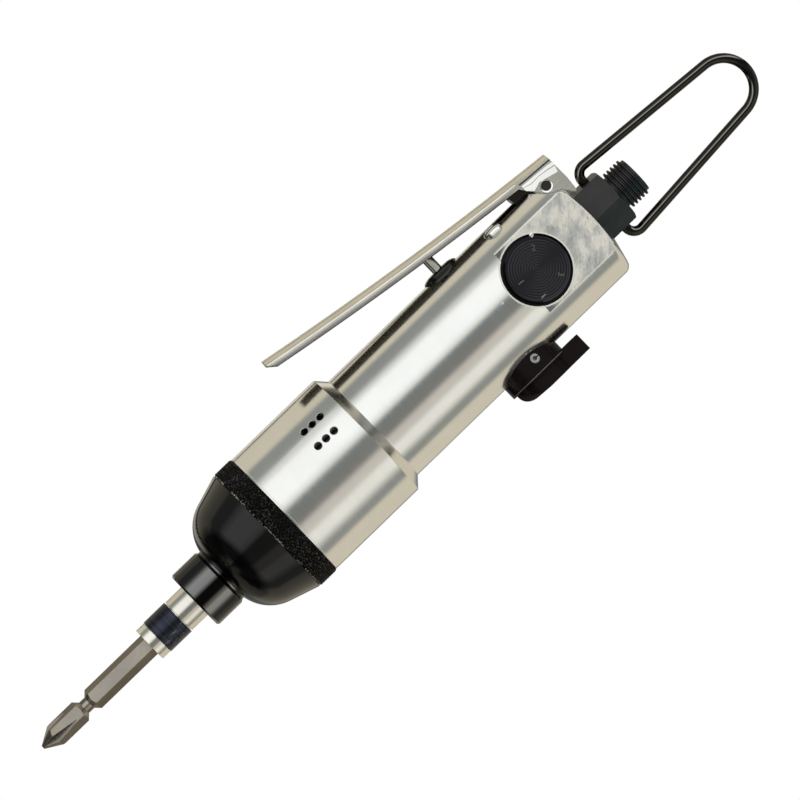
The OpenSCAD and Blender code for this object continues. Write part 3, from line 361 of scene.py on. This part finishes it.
def gloss_case():
    """Black lacquer on the dome; on the neck a harder plating with painted reflection bands, light and dark
    by how far it looks up.
    """
    m, t, shader = tree("gloss_black")
    shader.inputs["IOR"].default_value = 1.38
    neck = under(t, place(t, X), NECK_REAR)
    slow = noise(t, EVEN, 60.0, 3.0, 0.6)
    fine = noise(t, EVEN, 900.0, 3.0, 0.6)
    lacquer = ramp(t, slow, [(0.3, (0.0015, 0.0015, 0.002)), (0.75, (0.003, 0.0025, 0.003))])
    upward = calculate(t, "ADD", calculate(t, "DIVIDE", facing(t, Z), 2.0), 0.5)
    # Painted reflections: light and dark bands on the neck, by how far its surface looks up
    plating = ramp(t, upward, [(0.12, 0.030), (0.20, 0.19), (0.29, 0.20), (0.37, 0.012), (0.50, 0.012),
                               (0.57, 0.14), (0.68, 0.17), (0.76, 0.045), (1.0, 0.030)])
    dress(t, shader, blend(t, neck, lacquer, plating), ramp(t, fine, [(0.3, 0.035), (0.8, 0.075)]))
    t.links.new(neck, shader.inputs["Metallic"])
    bump(t, shader, slow, 4, worn_edge(t, 0.35))
    return m


def pressed_nickel():
    """Satin nickel on the lever, darker along its sides' lower edges, and with painted shade on the channel's
    faces that look down.
    """
    m, t, shader = tree("satin_nickel", 1.0)
    tall, reach = 2.5, 50
    grain = noise(t, ALONG, 900.0, 3.0, 0.7)
    slow = noise(t, EVEN, 120.0, 4.0, 0.6)
    ahead = calculate(t, "MULTIPLY", place(t, X), -1.0)
    height = calculate(t, "MULTIPLY_ADD", ahead, -LEVER_SLOPE, place(t, Z))
    height = calculate(t, "MULTIPLY_ADD", product(t, ahead, ahead), -LEVER_BEND / MM, height)
    height = share(t, calculate(t, "SUBTRACT", height, LEVER_FOOT * MM), tall)
    side = product(t, calculate(t, "GREATER_THAN", calculate(t, "ABSOLUTE", facing(t, Y)), 0.8),
                   ramp(t, share(t, ahead, reach), [(22 / reach, 0.0), (28 / reach, 1.0)]))
    # Darker colour along the sides' lower edges, towards the front
    dull = product(t, side, ramp(t, height, [(0.2 / tall, 1.0), (1.1 / tall, 0.0)]))
    color = ramp(t, slow, [(0.3, (0.62, 0.60, 0.55)), (0.7, (0.72, 0.69, 0.63))])
    color = blend(t, dull, color, (0.34, 0.325, 0.335))
    # Painted shade on the channel's faces that look down
    inside = calculate(t, "LESS_THAN", facing(t, Z), -0.35)
    color = blend(t, inside, color, (0.075, 0.07, 0.055))
    dress(t, shader, color, ramp(t, grain, [(0.25, 0.16), (0.75, 0.28)]))
    rolled = product(t, side, ramp(t, height, [(0.9 / tall, 1.0), (1.65 / tall, 0.0)]))
    normal = bump(t, shader, grain, 5, worn_edge(t, 0.3))
    normal = bump(t, shader, rolled, 20, normal)
    bump(t, shader, slow, 10, normal)
    return m


def scratched_blue():
    """Tempered blue-black spring steel, with bare scratches low down."""
    m, t, shader = tree("blued_steel", 0.95)
    grain = noise(t, RINGS, 1800.0, 3.0, 0.7)
    scar = noise(t, (0.5, 1.0, 1.6), 800.0, 3.0, 0.75)
    worn = product(t, under(t, place(t, Z), -1.2), ramp(t, scar, [(0.56, 0.0), (0.62, 1.0)]))
    color = ramp(t, grain, [(0.3, (0.020, 0.023, 0.036)), (0.7, (0.042, 0.046, 0.064))])
    dress(t, shader, blend(t, worn, color, (0.10, 0.10, 0.12)), ramp(t, grain, [(0.25, 0.24), (0.75, 0.36)]))
    normal = bump(t, shader, grain, 4, worn_edge(t, 0.2))
    bump(t, shader, scar, 20, normal)
    return m


def oxide_steel():
    """Black oxide with painted reflection tints: brownish on the faces that look up and teal on the others.
    """
    m, t, shader = tree("black_oxide", 0.55)
    slow = noise(t, EVEN, 160.0, 4.0, 0.6)
    fine = noise(t, EVEN, 1500.0, 3.0, 0.7)
    brown = ramp(t, slow, [(0.3, (0.024, 0.022, 0.023)), (0.7, (0.034, 0.032, 0.033))])
    teal = ramp(t, slow, [(0.35, (0.013, 0.022, 0.026)), (0.7, (0.024, 0.033, 0.036))])
    # Painted reflection tint: brown where the surface looks up, teal elsewhere
    up = calculate(t, "GREATER_THAN", facing(t, Z), -0.1)
    dress(t, shader, blend(t, up, teal, brown), ramp(t, fine, [(0.3, 0.38), (0.8, 0.5)]))
    normal = bump(t, shader, fine, 12, worn_edge(t, 0.2))
    bump(t, shader, slow, 30, normal)
    return m


def knurl_black():
    """Dry black knurling with odd light specks, worn points that also carry painted glints, and a painted
    highlight in places along its front rim.
    """
    m, t, shader = tree("knurl_black")
    shader.inputs["IOR"].default_value = 1.17
    rub = noise(t, EVEN, 1900.0, 2.0, 0.6)
    slow = noise(t, EVEN, 150.0, 3.0, 0.6)
    spots = noise(t, EVEN, 330.0, 2.0, 0.5)
    # Light specks: worn points, also painted glints
    worn = product(t, ramp(t, rub, [(0.56, 0.0), (0.64, 1.0)]), ramp(t, slow, [(0.42, 0.25), (0.62, 1.0)]))
    # Painted highlight in places along the front rim
    rim = product(t, under(t, place(t, X), RING_FRONT + 0.45), ramp(t, rub, [(0.44, 0.0), (0.52, 1.0)]),
                  ramp(t, spots, [(0.46, 0.0), (0.54, 1.0)]))
    color = blend(t, worn, (0.0015, 0.0015, 0.002), (0.10, 0.095, 0.085))
    dress(t, shader, blend(t, rim, color, (0.42, 0.37, 0.30)), ramp(t, rub, [(0.3, 0.42), (0.8, 0.26)]))
    bump(t, shader, rub, 40)
    return m


def hanger_wire():
    """Black wire with a painted highlight: a thin light line just over the middle of its sides."""
    m, t, shader = tree("gunmetal", 1.0)
    grain = noise(t, EVEN, 400.0, 3.0, 0.7)
    color = ramp(t, grain, [(0.3, (0.028, 0.027, 0.025)), (0.7, (0.042, 0.041, 0.038))])
    # Painted highlight: a light line where the wire's surface looks slightly up
    line = ramp(t, facing(t, Z), [(0.03, 0.0), (0.08, 1.0), (0.19, 1.0), (0.28, 0.0)])
    dress(t, shader, blend(t, line, color, (0.22, 0.21, 0.19)), ramp(t, grain, [(0.3, 0.06), (0.7, 0.12)]))
    bump(t, shader, grain, 5)
    return m


def bit_steel():
    """Sandy grey bit steel, with painted shade on the hexagon's slanting sides."""
    m, t, shader = tree("bit_steel", 1.0)
    grain = noise(t, EVEN, 1300.0, 3.0, 0.7)
    slow = noise(t, EVEN, 90.0, 3.0, 0.5)
    front = ramp(t, slow, [(0.3, (0.29, 0.262, 0.23)), (0.7, (0.37, 0.335, 0.295))])
    # Painted shade: darker colour on the hexagon's slanting sides
    side = ramp(t, slow, [(0.3, (0.115, 0.105, 0.088)), (0.7, (0.165, 0.152, 0.128))])
    painted_side_shade = ramp(t, calculate(t, "ABSOLUTE", facing(t, Z)), [(0.35, 0.0), (0.75, 1.0)])
    dress(t, shader, blend(t, painted_side_shade, front, side), ramp(t, grain, [(0.25, 0.24), (0.75, 0.36)]))
    bump(t, shader, grain, 10, worn_edge(t, 0.25))
    return m


def knob_black():
    """Moulded black of the reverse knob, glossy at the sides and dull underneath."""
    m, t, shader = tree("knob_black")
    shader.inputs["IOR"].default_value = 1.24
    slow = noise(t, EVEN, 60.0, 3.0, 0.6)
    fine = noise(t, EVEN, 900.0, 3.0, 0.6)
    color = ramp(t, slow, [(0.3, (0.008, 0.005, 0.006)), (0.75, (0.014, 0.009, 0.010))])
    below = calculate(t, "LESS_THAN", facing(t, Z), -0.25)
    gloss_rough = ramp(t, fine, [(0.3, 0.10), (0.8, 0.15)])
    dress(t, shader, color, blend(t, below, gloss_rough, (0.75, 0.75, 0.75)))
    level = blend(t, below, (0.5, 0.5, 0.5), (0.08, 0.08, 0.08))
    t.links.new(level, shader.inputs["Specular IOR Level"])
    bump(t, shader, slow, 6)
    return m


def painted_edge_highlight():
    """Painted highlight on the casting's broken edges."""
    m, t, shader = tree("painted_edge_highlight", 0.25)
    fine = noise(t, EVEN, 900.0, 4.0, 0.7)
    color = ramp(t, fine, [(0.3, (0.82, 0.82, 0.78)), (0.7, (0.95, 0.94, 0.88))])
    dress(t, shader, color, ramp(t, fine, [(0.3, 0.36), (0.7, 0.52)]))
    bump(t, shader, fine, 6)
    return m


satin = cast_body()
knurl = knurl_black()
oxide = oxide_steel()
nickel = pressed_nickel()
turned = metal("turned_steel", (0.66, 0.64, 0.59), (0.74, 0.72, 0.66), 0.17, RINGS, 2200.0, 4, 0.25)
bright = metal("bright_steel", (0.72, 0.72, 0.70), (0.82, 0.82, 0.80), 0.14, relief=2, edge=0.2)
bronze = metal("bronze", (0.42, 0.26, 0.12), (0.52, 0.34, 0.17), 0.32)
cast = metal("cast_grey", (0.28, 0.28, 0.285), (0.38, 0.38, 0.385), 0.36, RINGS, 1500.0)
polished = metal("polished_nickel", (0.66, 0.66, 0.64), (0.72, 0.72, 0.70), 0.15, ALONG, relief=3)
figure = metal("worn_figure", (0.13, 0.13, 0.125), (0.24, 0.24, 0.23), 0.32)
dial = coat("dial_black", (0.0055, 0.005, 0.0095), (0.0095, 0.0085, 0.015), 0.17, ior=1.45)
rubber = coat("rubber", (0.02, 0.02, 0.02), (0.025, 0.025, 0.025), 0.55, 10)
fibre = coat("laminate", (0.16, 0.08, 0.035), (0.26, 0.14, 0.07), 0.5, 10)
plastic = coat("black_plastic", (0.008, 0.007, 0.007), (0.01, 0.00875, 0.00875), 0.13, edge=0.4)
# Painted highlight for the knob's parting line
knob_seam_highlight = coat("seam_highlight_black", (0.10, 0.085, 0.08), (0.17, 0.15, 0.14), 0.3)
# Painted highlight for the casting's edges
edge_highlight_paint = painted_edge_highlight()

FINISHES = [
    (satin, "housing"),
    (gloss_case(), "hammer_case"),
    (knurl, "lock_ring"),
    (turned, "anvil valve_stem"),
    (scratched_blue(), "spring_band"),
    (bit_steel(), "driver_bit"),
    (nickel, "throttle_lever"),
    (plastic, "stem_bush throttle_valve"),
    (knob_black(), "reverse_knob"),
    (dial, "regulator_dial"),
    (oxide, "lever_pin inlet_fitting"),
    (hanger_wire(), "hanger"),
    (bronze, "case_bush reverse_valve"),
    (fibre, "motor_vanes"),
    (cast, "hammer_cage hammer_front hammer_rear spacer_ring front_plate motor_liner rotor rear_plate"),
    (rubber, "motor_gasket stem_oring reverse_orings regulator_oring inlet_seal"),
    (bright, "bit_ball hammer_pins front_bearing_outer front_bearing_inner front_bearing_balls"),
    (bright, "rear_bearing_outer rear_bearing_inner rear_bearing_balls motor_dowel inlet_screen"),
    (bright, "throttle_spring reverse_pin reverse_ball reverse_spring"),
    (bright, "detent_screw detent_spring detent_ball"),
]
finish = {node: material for material, names in FINISHES for node in names.split()}


# Mesh helpers
def smooth(o, angle=0.6):
    """Smooth shading, with edges over this angle in radians kept sharp."""
    for polygon in o.data.polygons:
        polygon.use_smooth = True
    bm = bmesh.new()
    bm.from_mesh(o.data)
    for edge in bm.edges:
        edge.smooth = len(edge.link_faces) == 2 and edge.calc_face_angle(0.0) < angle
    bm.to_mesh(o.data)
    bm.free()


def link(name, mesh, body):
    """A new object in the scene that rides on a body."""
    o = bpy.data.objects.new(name, mesh)
    scene.collection.objects.link(o)
    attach(o, body)
    return o


def piece(name, verts, faces, material, body, angle=0.6):
    """A closed mesh piece from points in mm."""
    mesh = bpy.data.meshes.new(name)
    mesh.from_pydata([tuple(c * MM for c in v) for v in verts], [], faces)
    mesh.validate()
    mesh.materials.append(material)
    bm = bmesh.new()
    bm.from_mesh(mesh)
    bmesh.ops.recalc_face_normals(bm, faces=bm.faces)
    bm.to_mesh(mesh)
    bm.free()
    o = link(name, mesh, body)
    smooth(o, angle)
    return o


# Radius in mm that a point on the axis gets in a turned piece, so that no two points coincide
HAIR = 0.0005


def lathe(name, profile, centre, axis, material, body, steps=128, closed=False, angle=0.6):
    """Turns (distance along axis, radius) points round an axis through centre."""
    a = Vector(axis).normalized()
    side = Vector((0, 0, 1)) if abs(a.z) < 0.9 else Vector((1, 0, 0))
    u = a.cross(side).normalized()
    w = a.cross(u).normalized()
    verts, faces, n = [], [], len(profile)
    for k in range(steps):
        q = 2 * math.pi * k / steps
        out = u * math.cos(q) + w * math.sin(q)
        verts += [tuple(Vector(centre) + a * h + out * max(r, HAIR)) for h, r in profile]
    for k in range(steps):
        p, q = k * n, ((k + 1) % steps) * n
        for i in range(n if closed else n - 1):
            j = (i + 1) % n
            faces.append((p + i, q + i, q + j, p + j))
    return piece(name, verts, faces, material, body, angle)


def sweep(name, rows, material, body, angle):
    """A closed bar whose sections are the rows of points."""
    w, n = len(rows[0]), len(rows)
    faces = [(i * w + k, (i + 1) * w + k, (i + 1) * w + (k + 1) % w, i * w + (k + 1) % w)
             for i in range(n - 1) for k in range(w)]
    faces.append(tuple(range(w)))
    faces.append(tuple((n - 1) * w + k for k in reversed(range(w))))
    return piece(name, [v for row in rows for v in row], faces, material, body, angle)


def bead(name, x, y, z, length, width, height, turn, material, body):
    """A low oval bead on a face that looks along -Y."""
    steps, rings = 24, 6
    ca, sa = math.cos(math.radians(turn)), math.sin(math.radians(turn))
    verts, faces = [(x, y - height, z)], []
    for i in range(1, rings + 1):
        f = i / rings
        rise = height * math.cos(f * math.pi / 2)
        for k in range(steps):
            q = 2 * math.pi * k / steps
            dx, dz = length / 2 * f * math.cos(q), width / 2 * f * math.sin(q)
            verts.append((x + dx * ca - dz * sa, y - rise, z + dx * sa + dz * ca))
    for k in range(steps):
        faces.append((0, 1 + k, 1 + (k + 1) % steps))
    for i in range(1, rings):
        p, q = 1 + (i - 1) * steps, 1 + i * steps
        for k in range(steps):
            faces.append((p + k, q + k, q + (k + 1) % steps, p + (k + 1) % steps))
    faces.append(tuple(1 + (rings - 1) * steps + k for k in reversed(range(steps))))
    return piece(name, verts, faces, material, body, 1.2)


# Dial: a chamfered face with fine turned rings, a spool behind it, worn figures and a pointer
def turned_dial():
    face, rim_r, neck_r, spool_r = -FLAT, 9.95, 4.6, 6.48
    first, pitch, count = 0.35, 0.80, 11
    profile = [(face + 0.06, 0.0)]
    for k in range(count):
        r = first + pitch * k
        profile += [(face + 0.05, r), (face + 0.085, r + 0.26)]
        profile += [(face + 0.05, r + 0.52), (face + 0.045, r + 0.70)]
    profile += [(face + 0.04, rim_r - 0.70), (face + 0.02, rim_r - 0.60), (face + 0.40, rim_r - 0.07)]
    profile += [(face + 0.52, rim_r), (face + 4.8, rim_r), (face + 4.8, neck_r), (-6.0, neck_r)]
    profile += [(-6.0, spool_r), (9.0, spool_r), (9.0, 3.0), (8.0, 0.0)]
    o = lathe("dial_turned", profile, (DIAL_X, 0, 0), (0, 1, 0), dial, "regulator",
              144, angle=0.04)
    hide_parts("regulator_dial")


def numeral(text, x, z, size, turn):
    """A figure on the dial's face, from the dial's middle, turned by degrees."""
    curve = bpy.data.curves.new("numeral_" + text, "FONT")
    curve.body, curve.size, curve.extrude = text, size * MM, 0.03 * MM
    curve.align_x, curve.align_y = "CENTER", "CENTER"
    curve.bevel_depth = 0.01 * MM
    letters = bpy.data.objects.new("figure", curve)
    scene.collection.objects.link(letters)
    bpy.context.view_layer.update()
    mesh = bpy.data.meshes.new_from_object(letters.evaluated_get(bpy.context.evaluated_depsgraph_get()))
    bpy.data.objects.remove(letters)
    at = Matrix.Translation(Vector((DIAL_X + x, -FLAT + 0.03, z)) * MM)
    upright = Matrix.Rotation(math.radians(90), 4, "X")
    mesh.transform(at @ upright @ Matrix.Rotation(math.radians(turn), 4, "Z"))
    mesh.materials.clear()
    mesh.materials.append(figure)
    link("dial_figure_" + text, mesh, "regulator")


def marks():
    """The dial's pointer, the stake that holds the dial in, and a strike mark on the handle."""
    bead("dial_pointer", DIAL_X - 4.2, -FLAT + 0.03, -6.9, length=2.0, width=0.5, height=0.05, turn=0,
         material=figure, body="regulator")
    bead("stake_mark", DIAL_X + 5.6, -FLAT + 0.04, 8.35, length=1.7, width=1.5, height=0.3, turn=35,
         material=bright, body="tool")
    bead("strike_mark", REAR - 37.5, -HANDLE + 0.12, -0.15, length=2.6, width=0.75, height=0.16, turn=0,
         material=bright, body="tool")


# Lock ring: slanted ridges crossed by shallower ones, chamfered at both ends
def knurled_ring():
    long = RING_REAR - RING_FRONT
    outer, inner, chamfer, drop = 22.34, 19.62, 0.55, 0.45
    ridges, stations = 110, 44
    deep_cut, deep_slant, deep_steep = 0.36, 1.85, 2.4
    fine_cut, fine_slant, fine_steep = 0.16, 1.5, 3.6
    around = ridges * 6
    turns = [2 * math.pi * k / around for k in range(around)]
    verts, faces = [], []
    for i in range(stations + 1):
        behind = long * i / stations
        end = min(1.0, min(behind, long - behind) / chamfer)
        for q in turns:
            deep = (q * ridges / (2 * math.pi) - behind / deep_slant) % 1.0
            fine = (q * ridges / (2 * math.pi) + behind / fine_slant) % 1.0
            cut = max(0.0, 1 - abs(deep - 0.5) * deep_steep) * deep_cut
            cut += max(0.0, 1 - abs(fine - 0.5) * fine_steep) * fine_cut
            r = outer - cut - (1 - end) * drop
            verts.append((RING_FRONT + behind, -r * math.cos(q), r * math.sin(q)))
    for x in (RING_REAR, RING_FRONT):
        verts += [(x, -inner * math.cos(q), inner * math.sin(q)) for q in turns]
    rows = stations + 3
    for i in range(rows):
        j = (i + 1) % rows
        for k in range(around):
            after = (k + 1) % around
            faces.append((i * around + k, j * around + k, j * around + after, i * around + after))
    o = piece("knurled_ring", verts, faces, knurl, "tool", 0.5)
    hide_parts("lock_ring")


# Lever's ears: coined rings round the pin, pressed bands, and a line of painted shade under a band's bend
def from_photo(px, py):
    """Place in the tool's upright middle plane of a pixel of the photo: x and z."""
    dx, dy = px - TIP_PX[0], py - TIP_PX[1]
    along = dx * math.cos(TOOL_TURN) - dy * math.sin(TOOL_TURN)
    across = -dx * math.sin(TOOL_TURN) - dy * math.cos(TOOL_TURN)
    return (along - REAR_PX) / PX + REAR, (across + AXIS_PX) / PX


def from_crop(pixels):
    """Places of the enlarged crop's pixels."""
    return [from_photo(CROP_PX[0] + x / CROP_SCALE, CROP_PX[1] + y / CROP_SCALE) for x, y in pixels]


def pivot_ring(name, side):
    profile = [(0.02, 1.52), (0.20, 1.98), (0.20, 2.06), (0.0, 2.16), (-0.3, 2.16), (-0.3, 1.52)]
    lathe(name, profile, (PIN_X, side * LEVER_HALF, PIN_Z), (0, side, 0), bright, "lever",
          48, closed=True)


def pressed_band(name, side):
    """Band on an ear, thicker towards its lower edge, with a groove a third of the way down."""
    top_y, low_y, back_y = LEVER_HALF + 0.03, LEVER_HALF + 0.42, LEVER_HALF - 0.2
    groove, groove_depth = 0.36, 0.14
    rows = []
    for (x, z), (low_x, low_z) in zip(from_crop(BAND_TOP_PX), from_crop(BAND_LOW_PX)):
        row = []
        for f in (0.0, 0.32, groove, 0.40, 0.72, 1.0):
            y = top_y + (low_y - top_y) * f - (groove_depth if f == groove else 0)
            row.append((x + (low_x - x) * f, side * y, z + (low_z - z) * f))
        rows.append(row + [(low_x, side * back_y, low_z), (x, side * back_y, z)])
    sweep(name, rows, polished, "lever", 0.05)


def ear_shade_line():
    """A thin dark line of painted shade under the bend, along the upper edge of the band on the -Y side."""
    points, width, lift, y = from_crop(BEND_SHADE_PX), 0.42, 0.03, -LEVER_HALF - 0.01
    rows = []
    for i, (x, z) in enumerate(points):
        before, after = points[max(0, i - 1)], points[min(len(points) - 1, i + 1)]
        d = Vector((after[0] - before[0], after[1] - before[1])).normalized() * width / 2
        rows.append([(x - d.y, y, z + d.x), (x, y - lift, z), (x + d.y, y, z - d.x)])
    sweep("ear_shade_line", rows, plastic, "lever", 0.05)


# Casting's broken edges with a painted highlight: thin bars along them
def ribbon(name, rows):
    sweep(name, rows, edge_highlight_paint, "tool", 0.3)


def barrel_edge():
    front, r = BARREL_FRONT, BARREL_R
    profile = [(front, r - 0.50), (front - 0.02, r - 0.38), (front + 0.58, r - 0.01)]
    profile += [(front + 0.64, r - 0.07)]
    lathe("barrel_edge", profile, (0, 0, 0), (1, 0, 0), edge_highlight_paint, "tool", 160, closed=True)


def flat_side_edge(name, side):
    """Along the flat's upper or lower edge."""
    section = [(-FLAT + 0.01, FLAT_HALF - 0.46), (-FLAT - 0.07, FLAT_HALF - 0.41),
               (-FLAT + 0.05, FLAT_HALF + 0.09), (-FLAT + 0.24, FLAT_HALF + 0.11)]
    ribbon(name, [[(x, y, side * z) for y, z in section] for x in (FLAT_FRONT + 0.1, REAR - 3.9)])


def flat_end(z):
    """Where the flat ends, on the handle's coned rear face or on its rounded edge."""
    r = min(math.hypot(FLAT, z), HANDLE)
    if r < ARC_R:
        return REAR - (r - FACE_R) * math.tan(CONE)
    turn = math.acos(1 - (HANDLE - r) / EDGE_R)
    return ARC_X - EDGE_R * (math.cos(CONE) - math.sin(turn))


def flat_rear_edge():
    rows = []
    for q in range(-90, 91, 3):
        z = (FLAT_HALF - 0.02) * math.sin(math.radians(q))
        end = flat_end(z)
        rows.append([(end - 0.34, -FLAT + 0.02, z), (end - 0.30, -FLAT - 0.07, z),
                     (end + 0.10, -FLAT + 0.08, z), (end + 0.12, -FLAT + 0.30, z)])
    ribbon("flat_edge_rear", rows)


RIM_SECTION = [(10.62, -0.10), (10.66, 0.06), (11.12, 0.05), (11.16, -0.10)]


def rim_row(q):
    """Across the pocket's rim at an angle: on the flat behind, on the handle's skin in front."""
    row = []
    for r, lift in RIM_SECTION:
        x, z = POCKET_X + r * math.cos(q), r * math.sin(q)
        depth = FLAT if x > FLAT_FRONT else math.sqrt(HANDLE ** 2 - z * z)
        row.append((x, -depth - lift, z))
    return row


def pocket_rim():
    """The rim's part on the flat, and its part in front of the flat."""
    ahead = FLAT_FRONT - POCKET_X
    rear_q = math.acos((ahead + 0.10) / RIM_SECTION[-1][0])
    front_q = math.acos((ahead - 0.05) / RIM_SECTION[0][0])
    ribbon("pocket_rim_rear", [rim_row(-rear_q + 2 * rear_q * k / 90) for k in range(91)])
    ribbon("pocket_rim_front", [rim_row(front_q + (2 * math.pi - 2 * front_q) * k / 60) for k in range(61)])


def knob_seam():
    """Parting line round the reverse knob, with a painted highlight."""
    z, r = -22.12, 10.20
    profile = [(z - 0.20, r - 0.20), (z - 0.13, r - 0.03), (z, r), (z + 0.13, r - 0.03), (z + 0.20, r - 0.20)]
    lathe("knob_seam", profile, (STEM_X, 0, 0), (0, 0, 1), knob_seam_highlight, "reverse",
          96, closed=True)


def screw_dome():
    """Domed top of the detent screw."""
    profile = [(16.2, 0.0), (16.2, 3.37), (16.9, 3.37), (17.35, 3.1), (17.75, 2.4), (18.0, 1.4), (18.05, 0.0)]
    lathe("screw_dome", profile, (SCREW_X, SCREW_Y, 0), (0, 0, 1), bright, "tool", 48)


def throttle_coil():
    """The throttle spring between its seat and the valve, copied from its CAD part onto the tool."""
    o = link("throttle_coil", nodes["throttle_spring"].data.copy(), "tool")
    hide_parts("throttle_spring")
    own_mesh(o)


for name, o in nodes.items():
    o.data.materials.clear()
    o.data.materials.append(finish[name])
    smooth(o)

turned_dial()
numeral("2", x=3.4, z=5.2, size=2.6, turn=-33)
numeral("3", x=3.8, z=-5.7, size=2.6, turn=-146)
numeral("1", x=-6.0, z=0.5, size=2.8, turn=85)
marks()
knurled_ring()
pivot_ring("pivot_ring_a", -1)
pivot_ring("pivot_ring_b", 1)
pressed_band("pressed_band_a", -1)
pressed_band("pressed_band_b", 1)
ear_shade_line()
barrel_edge()
flat_side_edge("flat_edge_top", 1)
flat_side_edge("flat_edge_low", -1)
flat_rear_edge()
pocket_rim()
knob_seam()
screw_dome()
throttle_coil()


# Camera: looks across the tool, turned so that the tool leans as in the photo
def camera():
    roll, yaw = math.radians(44.06), math.radians(2.3)
    away, zoom = 1800 * MM, 1.004
    forward = Vector((math.sin(yaw), math.cos(yaw), 0))
    level = forward.cross(Vector((0, 0, 1))).normalized()
    right = math.cos(roll) * level - math.sin(roll) * Vector((0, 0, 1))
    up = math.sin(roll) * level + math.cos(roll) * Vector((0, 0, 1))
    aim = Vector(((CENTRE_PX[0] - REAR_PX) / PX + REAR, 0, CENTRE_PX[1] / PX)) * MM
    data = bpy.data.cameras.new("camera")
    data.sensor_width = 36.0
    data.lens = data.sensor_width * away / (PHOTO_W / PX * MM) * zoom
    data.clip_start, data.clip_end = 50 * MM, 20000 * MM
    o = bpy.data.objects.new("camera", data)
    scene.collection.objects.link(o)
    turn = Matrix((right, up, -forward)).transposed()
    o.matrix_world = Matrix.Translation(aim - forward * away) @ turn.to_4x4()
    scene.camera = o


camera()

# Studio light: bands that run round the tool's axis, by the angle from the camera's side towards the lever
PAPER = (0.72, 0.66, 0.52)
LIT_PAPER = (0.90, 0.84, 0.69)
GAP = (0.32, 0.335, 0.31)
ROOM = (0.215, 0.235, 0.225)
SLIT = (0.10, 0.10, 0.09)
STUDIO = [
    (-180, ROOM), (-166, ROOM), (-156, PAPER), (-112, (0.80, 0.73, 0.58)), (-102, (0.78, 0.72, 0.57)),
    (-96, GAP), (-84, GAP), (-76, (0.66, 0.65, 0.58)), (-68, (1.04, 1.03, 0.94)), (-53, (1.08, 1.06, 0.97)),
    (-46, (0.74, 0.70, 0.62)), (-33, (0.72, 0.68, 0.60)), (-26, (0.25, 0.25, 0.23)), (-1, ROOM),
    (7, (1.04, 1.04, 0.98)), (17, (1.30, 1.33, 1.32)), (50, (1.30, 1.31, 1.28)), (61, (0.80, 0.81, 0.78)),
    (70, (0.34, 0.36, 0.34)), (91, GAP), (98, (0.78, 0.72, 0.57)), (138, PAPER), (144, PAPER),
    (148, SLIT), (152, SLIT), (156, LIT_PAPER), (165, LIT_PAPER), (170, SLIT), (180, SLIT),
]
LEVEL = 1.4


def at_angle(degrees):
    """An angle's position in a ramp that runs from -180 to 180."""
    return (degrees + 180) / 360


def part_of_span(t, value, low, high):
    """Where a value lies between two others, from 0 to 1."""
    n = t.nodes.new("ShaderNodeMapRange")
    n.inputs["From Min"].default_value = low
    n.inputs["From Max"].default_value = high
    t.links.new(value, n.inputs["Value"])
    return n.outputs[0]


def camera_sees(t, other_rays, camera_rays, output):
    """Ends a tree with one shader for the camera and one for all other rays."""
    mix = t.nodes.new("ShaderNodeMixShader")
    t.links.new(t.nodes.new("ShaderNodeLightPath").outputs["Is Camera Ray"], mix.inputs["Fac"])
    t.links.new(other_rays.outputs[0], mix.inputs[1])
    t.links.new(camera_rays.outputs[0], mix.inputs[2])
    t.links.new(mix.outputs[0], t.nodes.new(output).inputs["Surface"])


def studio_world():
    """Metal sees the studio, and the camera sees white."""
    world = bpy.data.worlds.new("studio")
    world.use_nodes = True
    scene.world = world
    t = world.node_tree
    t.nodes.clear()
    toward = t.nodes.new("ShaderNodeSeparateXYZ")
    t.links.new(t.nodes.new("ShaderNodeTexCoord").outputs["Generated"], toward.inputs[0])
    near = calculate(t, "SUBTRACT", 0.0, toward.outputs["Y"])
    around = part_of_span(t, calculate(t, "ARCTAN2", toward.outputs["Z"], near), -math.pi, math.pi)
    bands = ramp(t, around, [(at_angle(a), tuple(c / LEVEL for c in color)) for a, color in STUDIO])
    # Dark past the windows' front end and straight behind the tool, apart from paper low on the far side
    along = part_of_span(t, toward.outputs["X"], -1.0, 1.0)
    lit = ramp(t, along, [(0.0075, 0.45), (0.0225, 0.07), (0.12, 0.07), (0.22, 1.0),
                          (0.965, 1.0), (0.990, 0.3)])
    low_paper = ramp(t, around, [(at_angle(-168), 0.0), (at_angle(-158), 0.55),
                                 (at_angle(-118), 0.55), (at_angle(-108), 0.0)])
    lit = calculate(t, "MAXIMUM", lit, low_paper)
    room = t.nodes.new("ShaderNodeBackground")
    room.inputs["Strength"].default_value = LEVEL
    t.links.new(blend(t, lit, (0.0, 0.0, 0.0), bands), room.inputs["Color"])
    white = t.nodes.new("ShaderNodeBackground")
    white.inputs["Color"].default_value = (1, 1, 1, 1)
    camera_sees(t, room, white, "ShaderNodeOutputWorld")


def floor_paper():
    """White to the camera with a soft shadow of the tool; other rays pass through."""
    m = bpy.data.materials.new("paper")
    m.use_nodes = True
    t = m.node_tree
    t.nodes.clear()
    near = t.nodes.new("ShaderNodeAmbientOcclusion")
    near.samples = 16
    near.inputs["Distance"].default_value = 250 * MM
    glow = t.nodes.new("ShaderNodeEmission")
    t.links.new(ramp(t, near.outputs["AO"], [(0.35, 0.72), (0.97, 1.0)]), glow.inputs["Color"])
    camera_sees(t, t.nodes.new("ShaderNodeBsdfTransparent"), glow, "ShaderNodeOutputMaterial")
    return m


def floor():
    half, z = 2500 * MM, -190 * MM
    mesh = bpy.data.meshes.new("floor")
    square = [(-half, -half, z), (half, -half, z), (half, half, z), (-half, half, z)]
    mesh.from_pydata(square, [], [(0, 1, 2, 3)])
    mesh.materials.append(floor_paper())
    o = bpy.data.objects.new("floor", mesh)
    scene.collection.objects.link(o)


studio_world()
floor()
scene.view_settings.view_transform = "Standard"
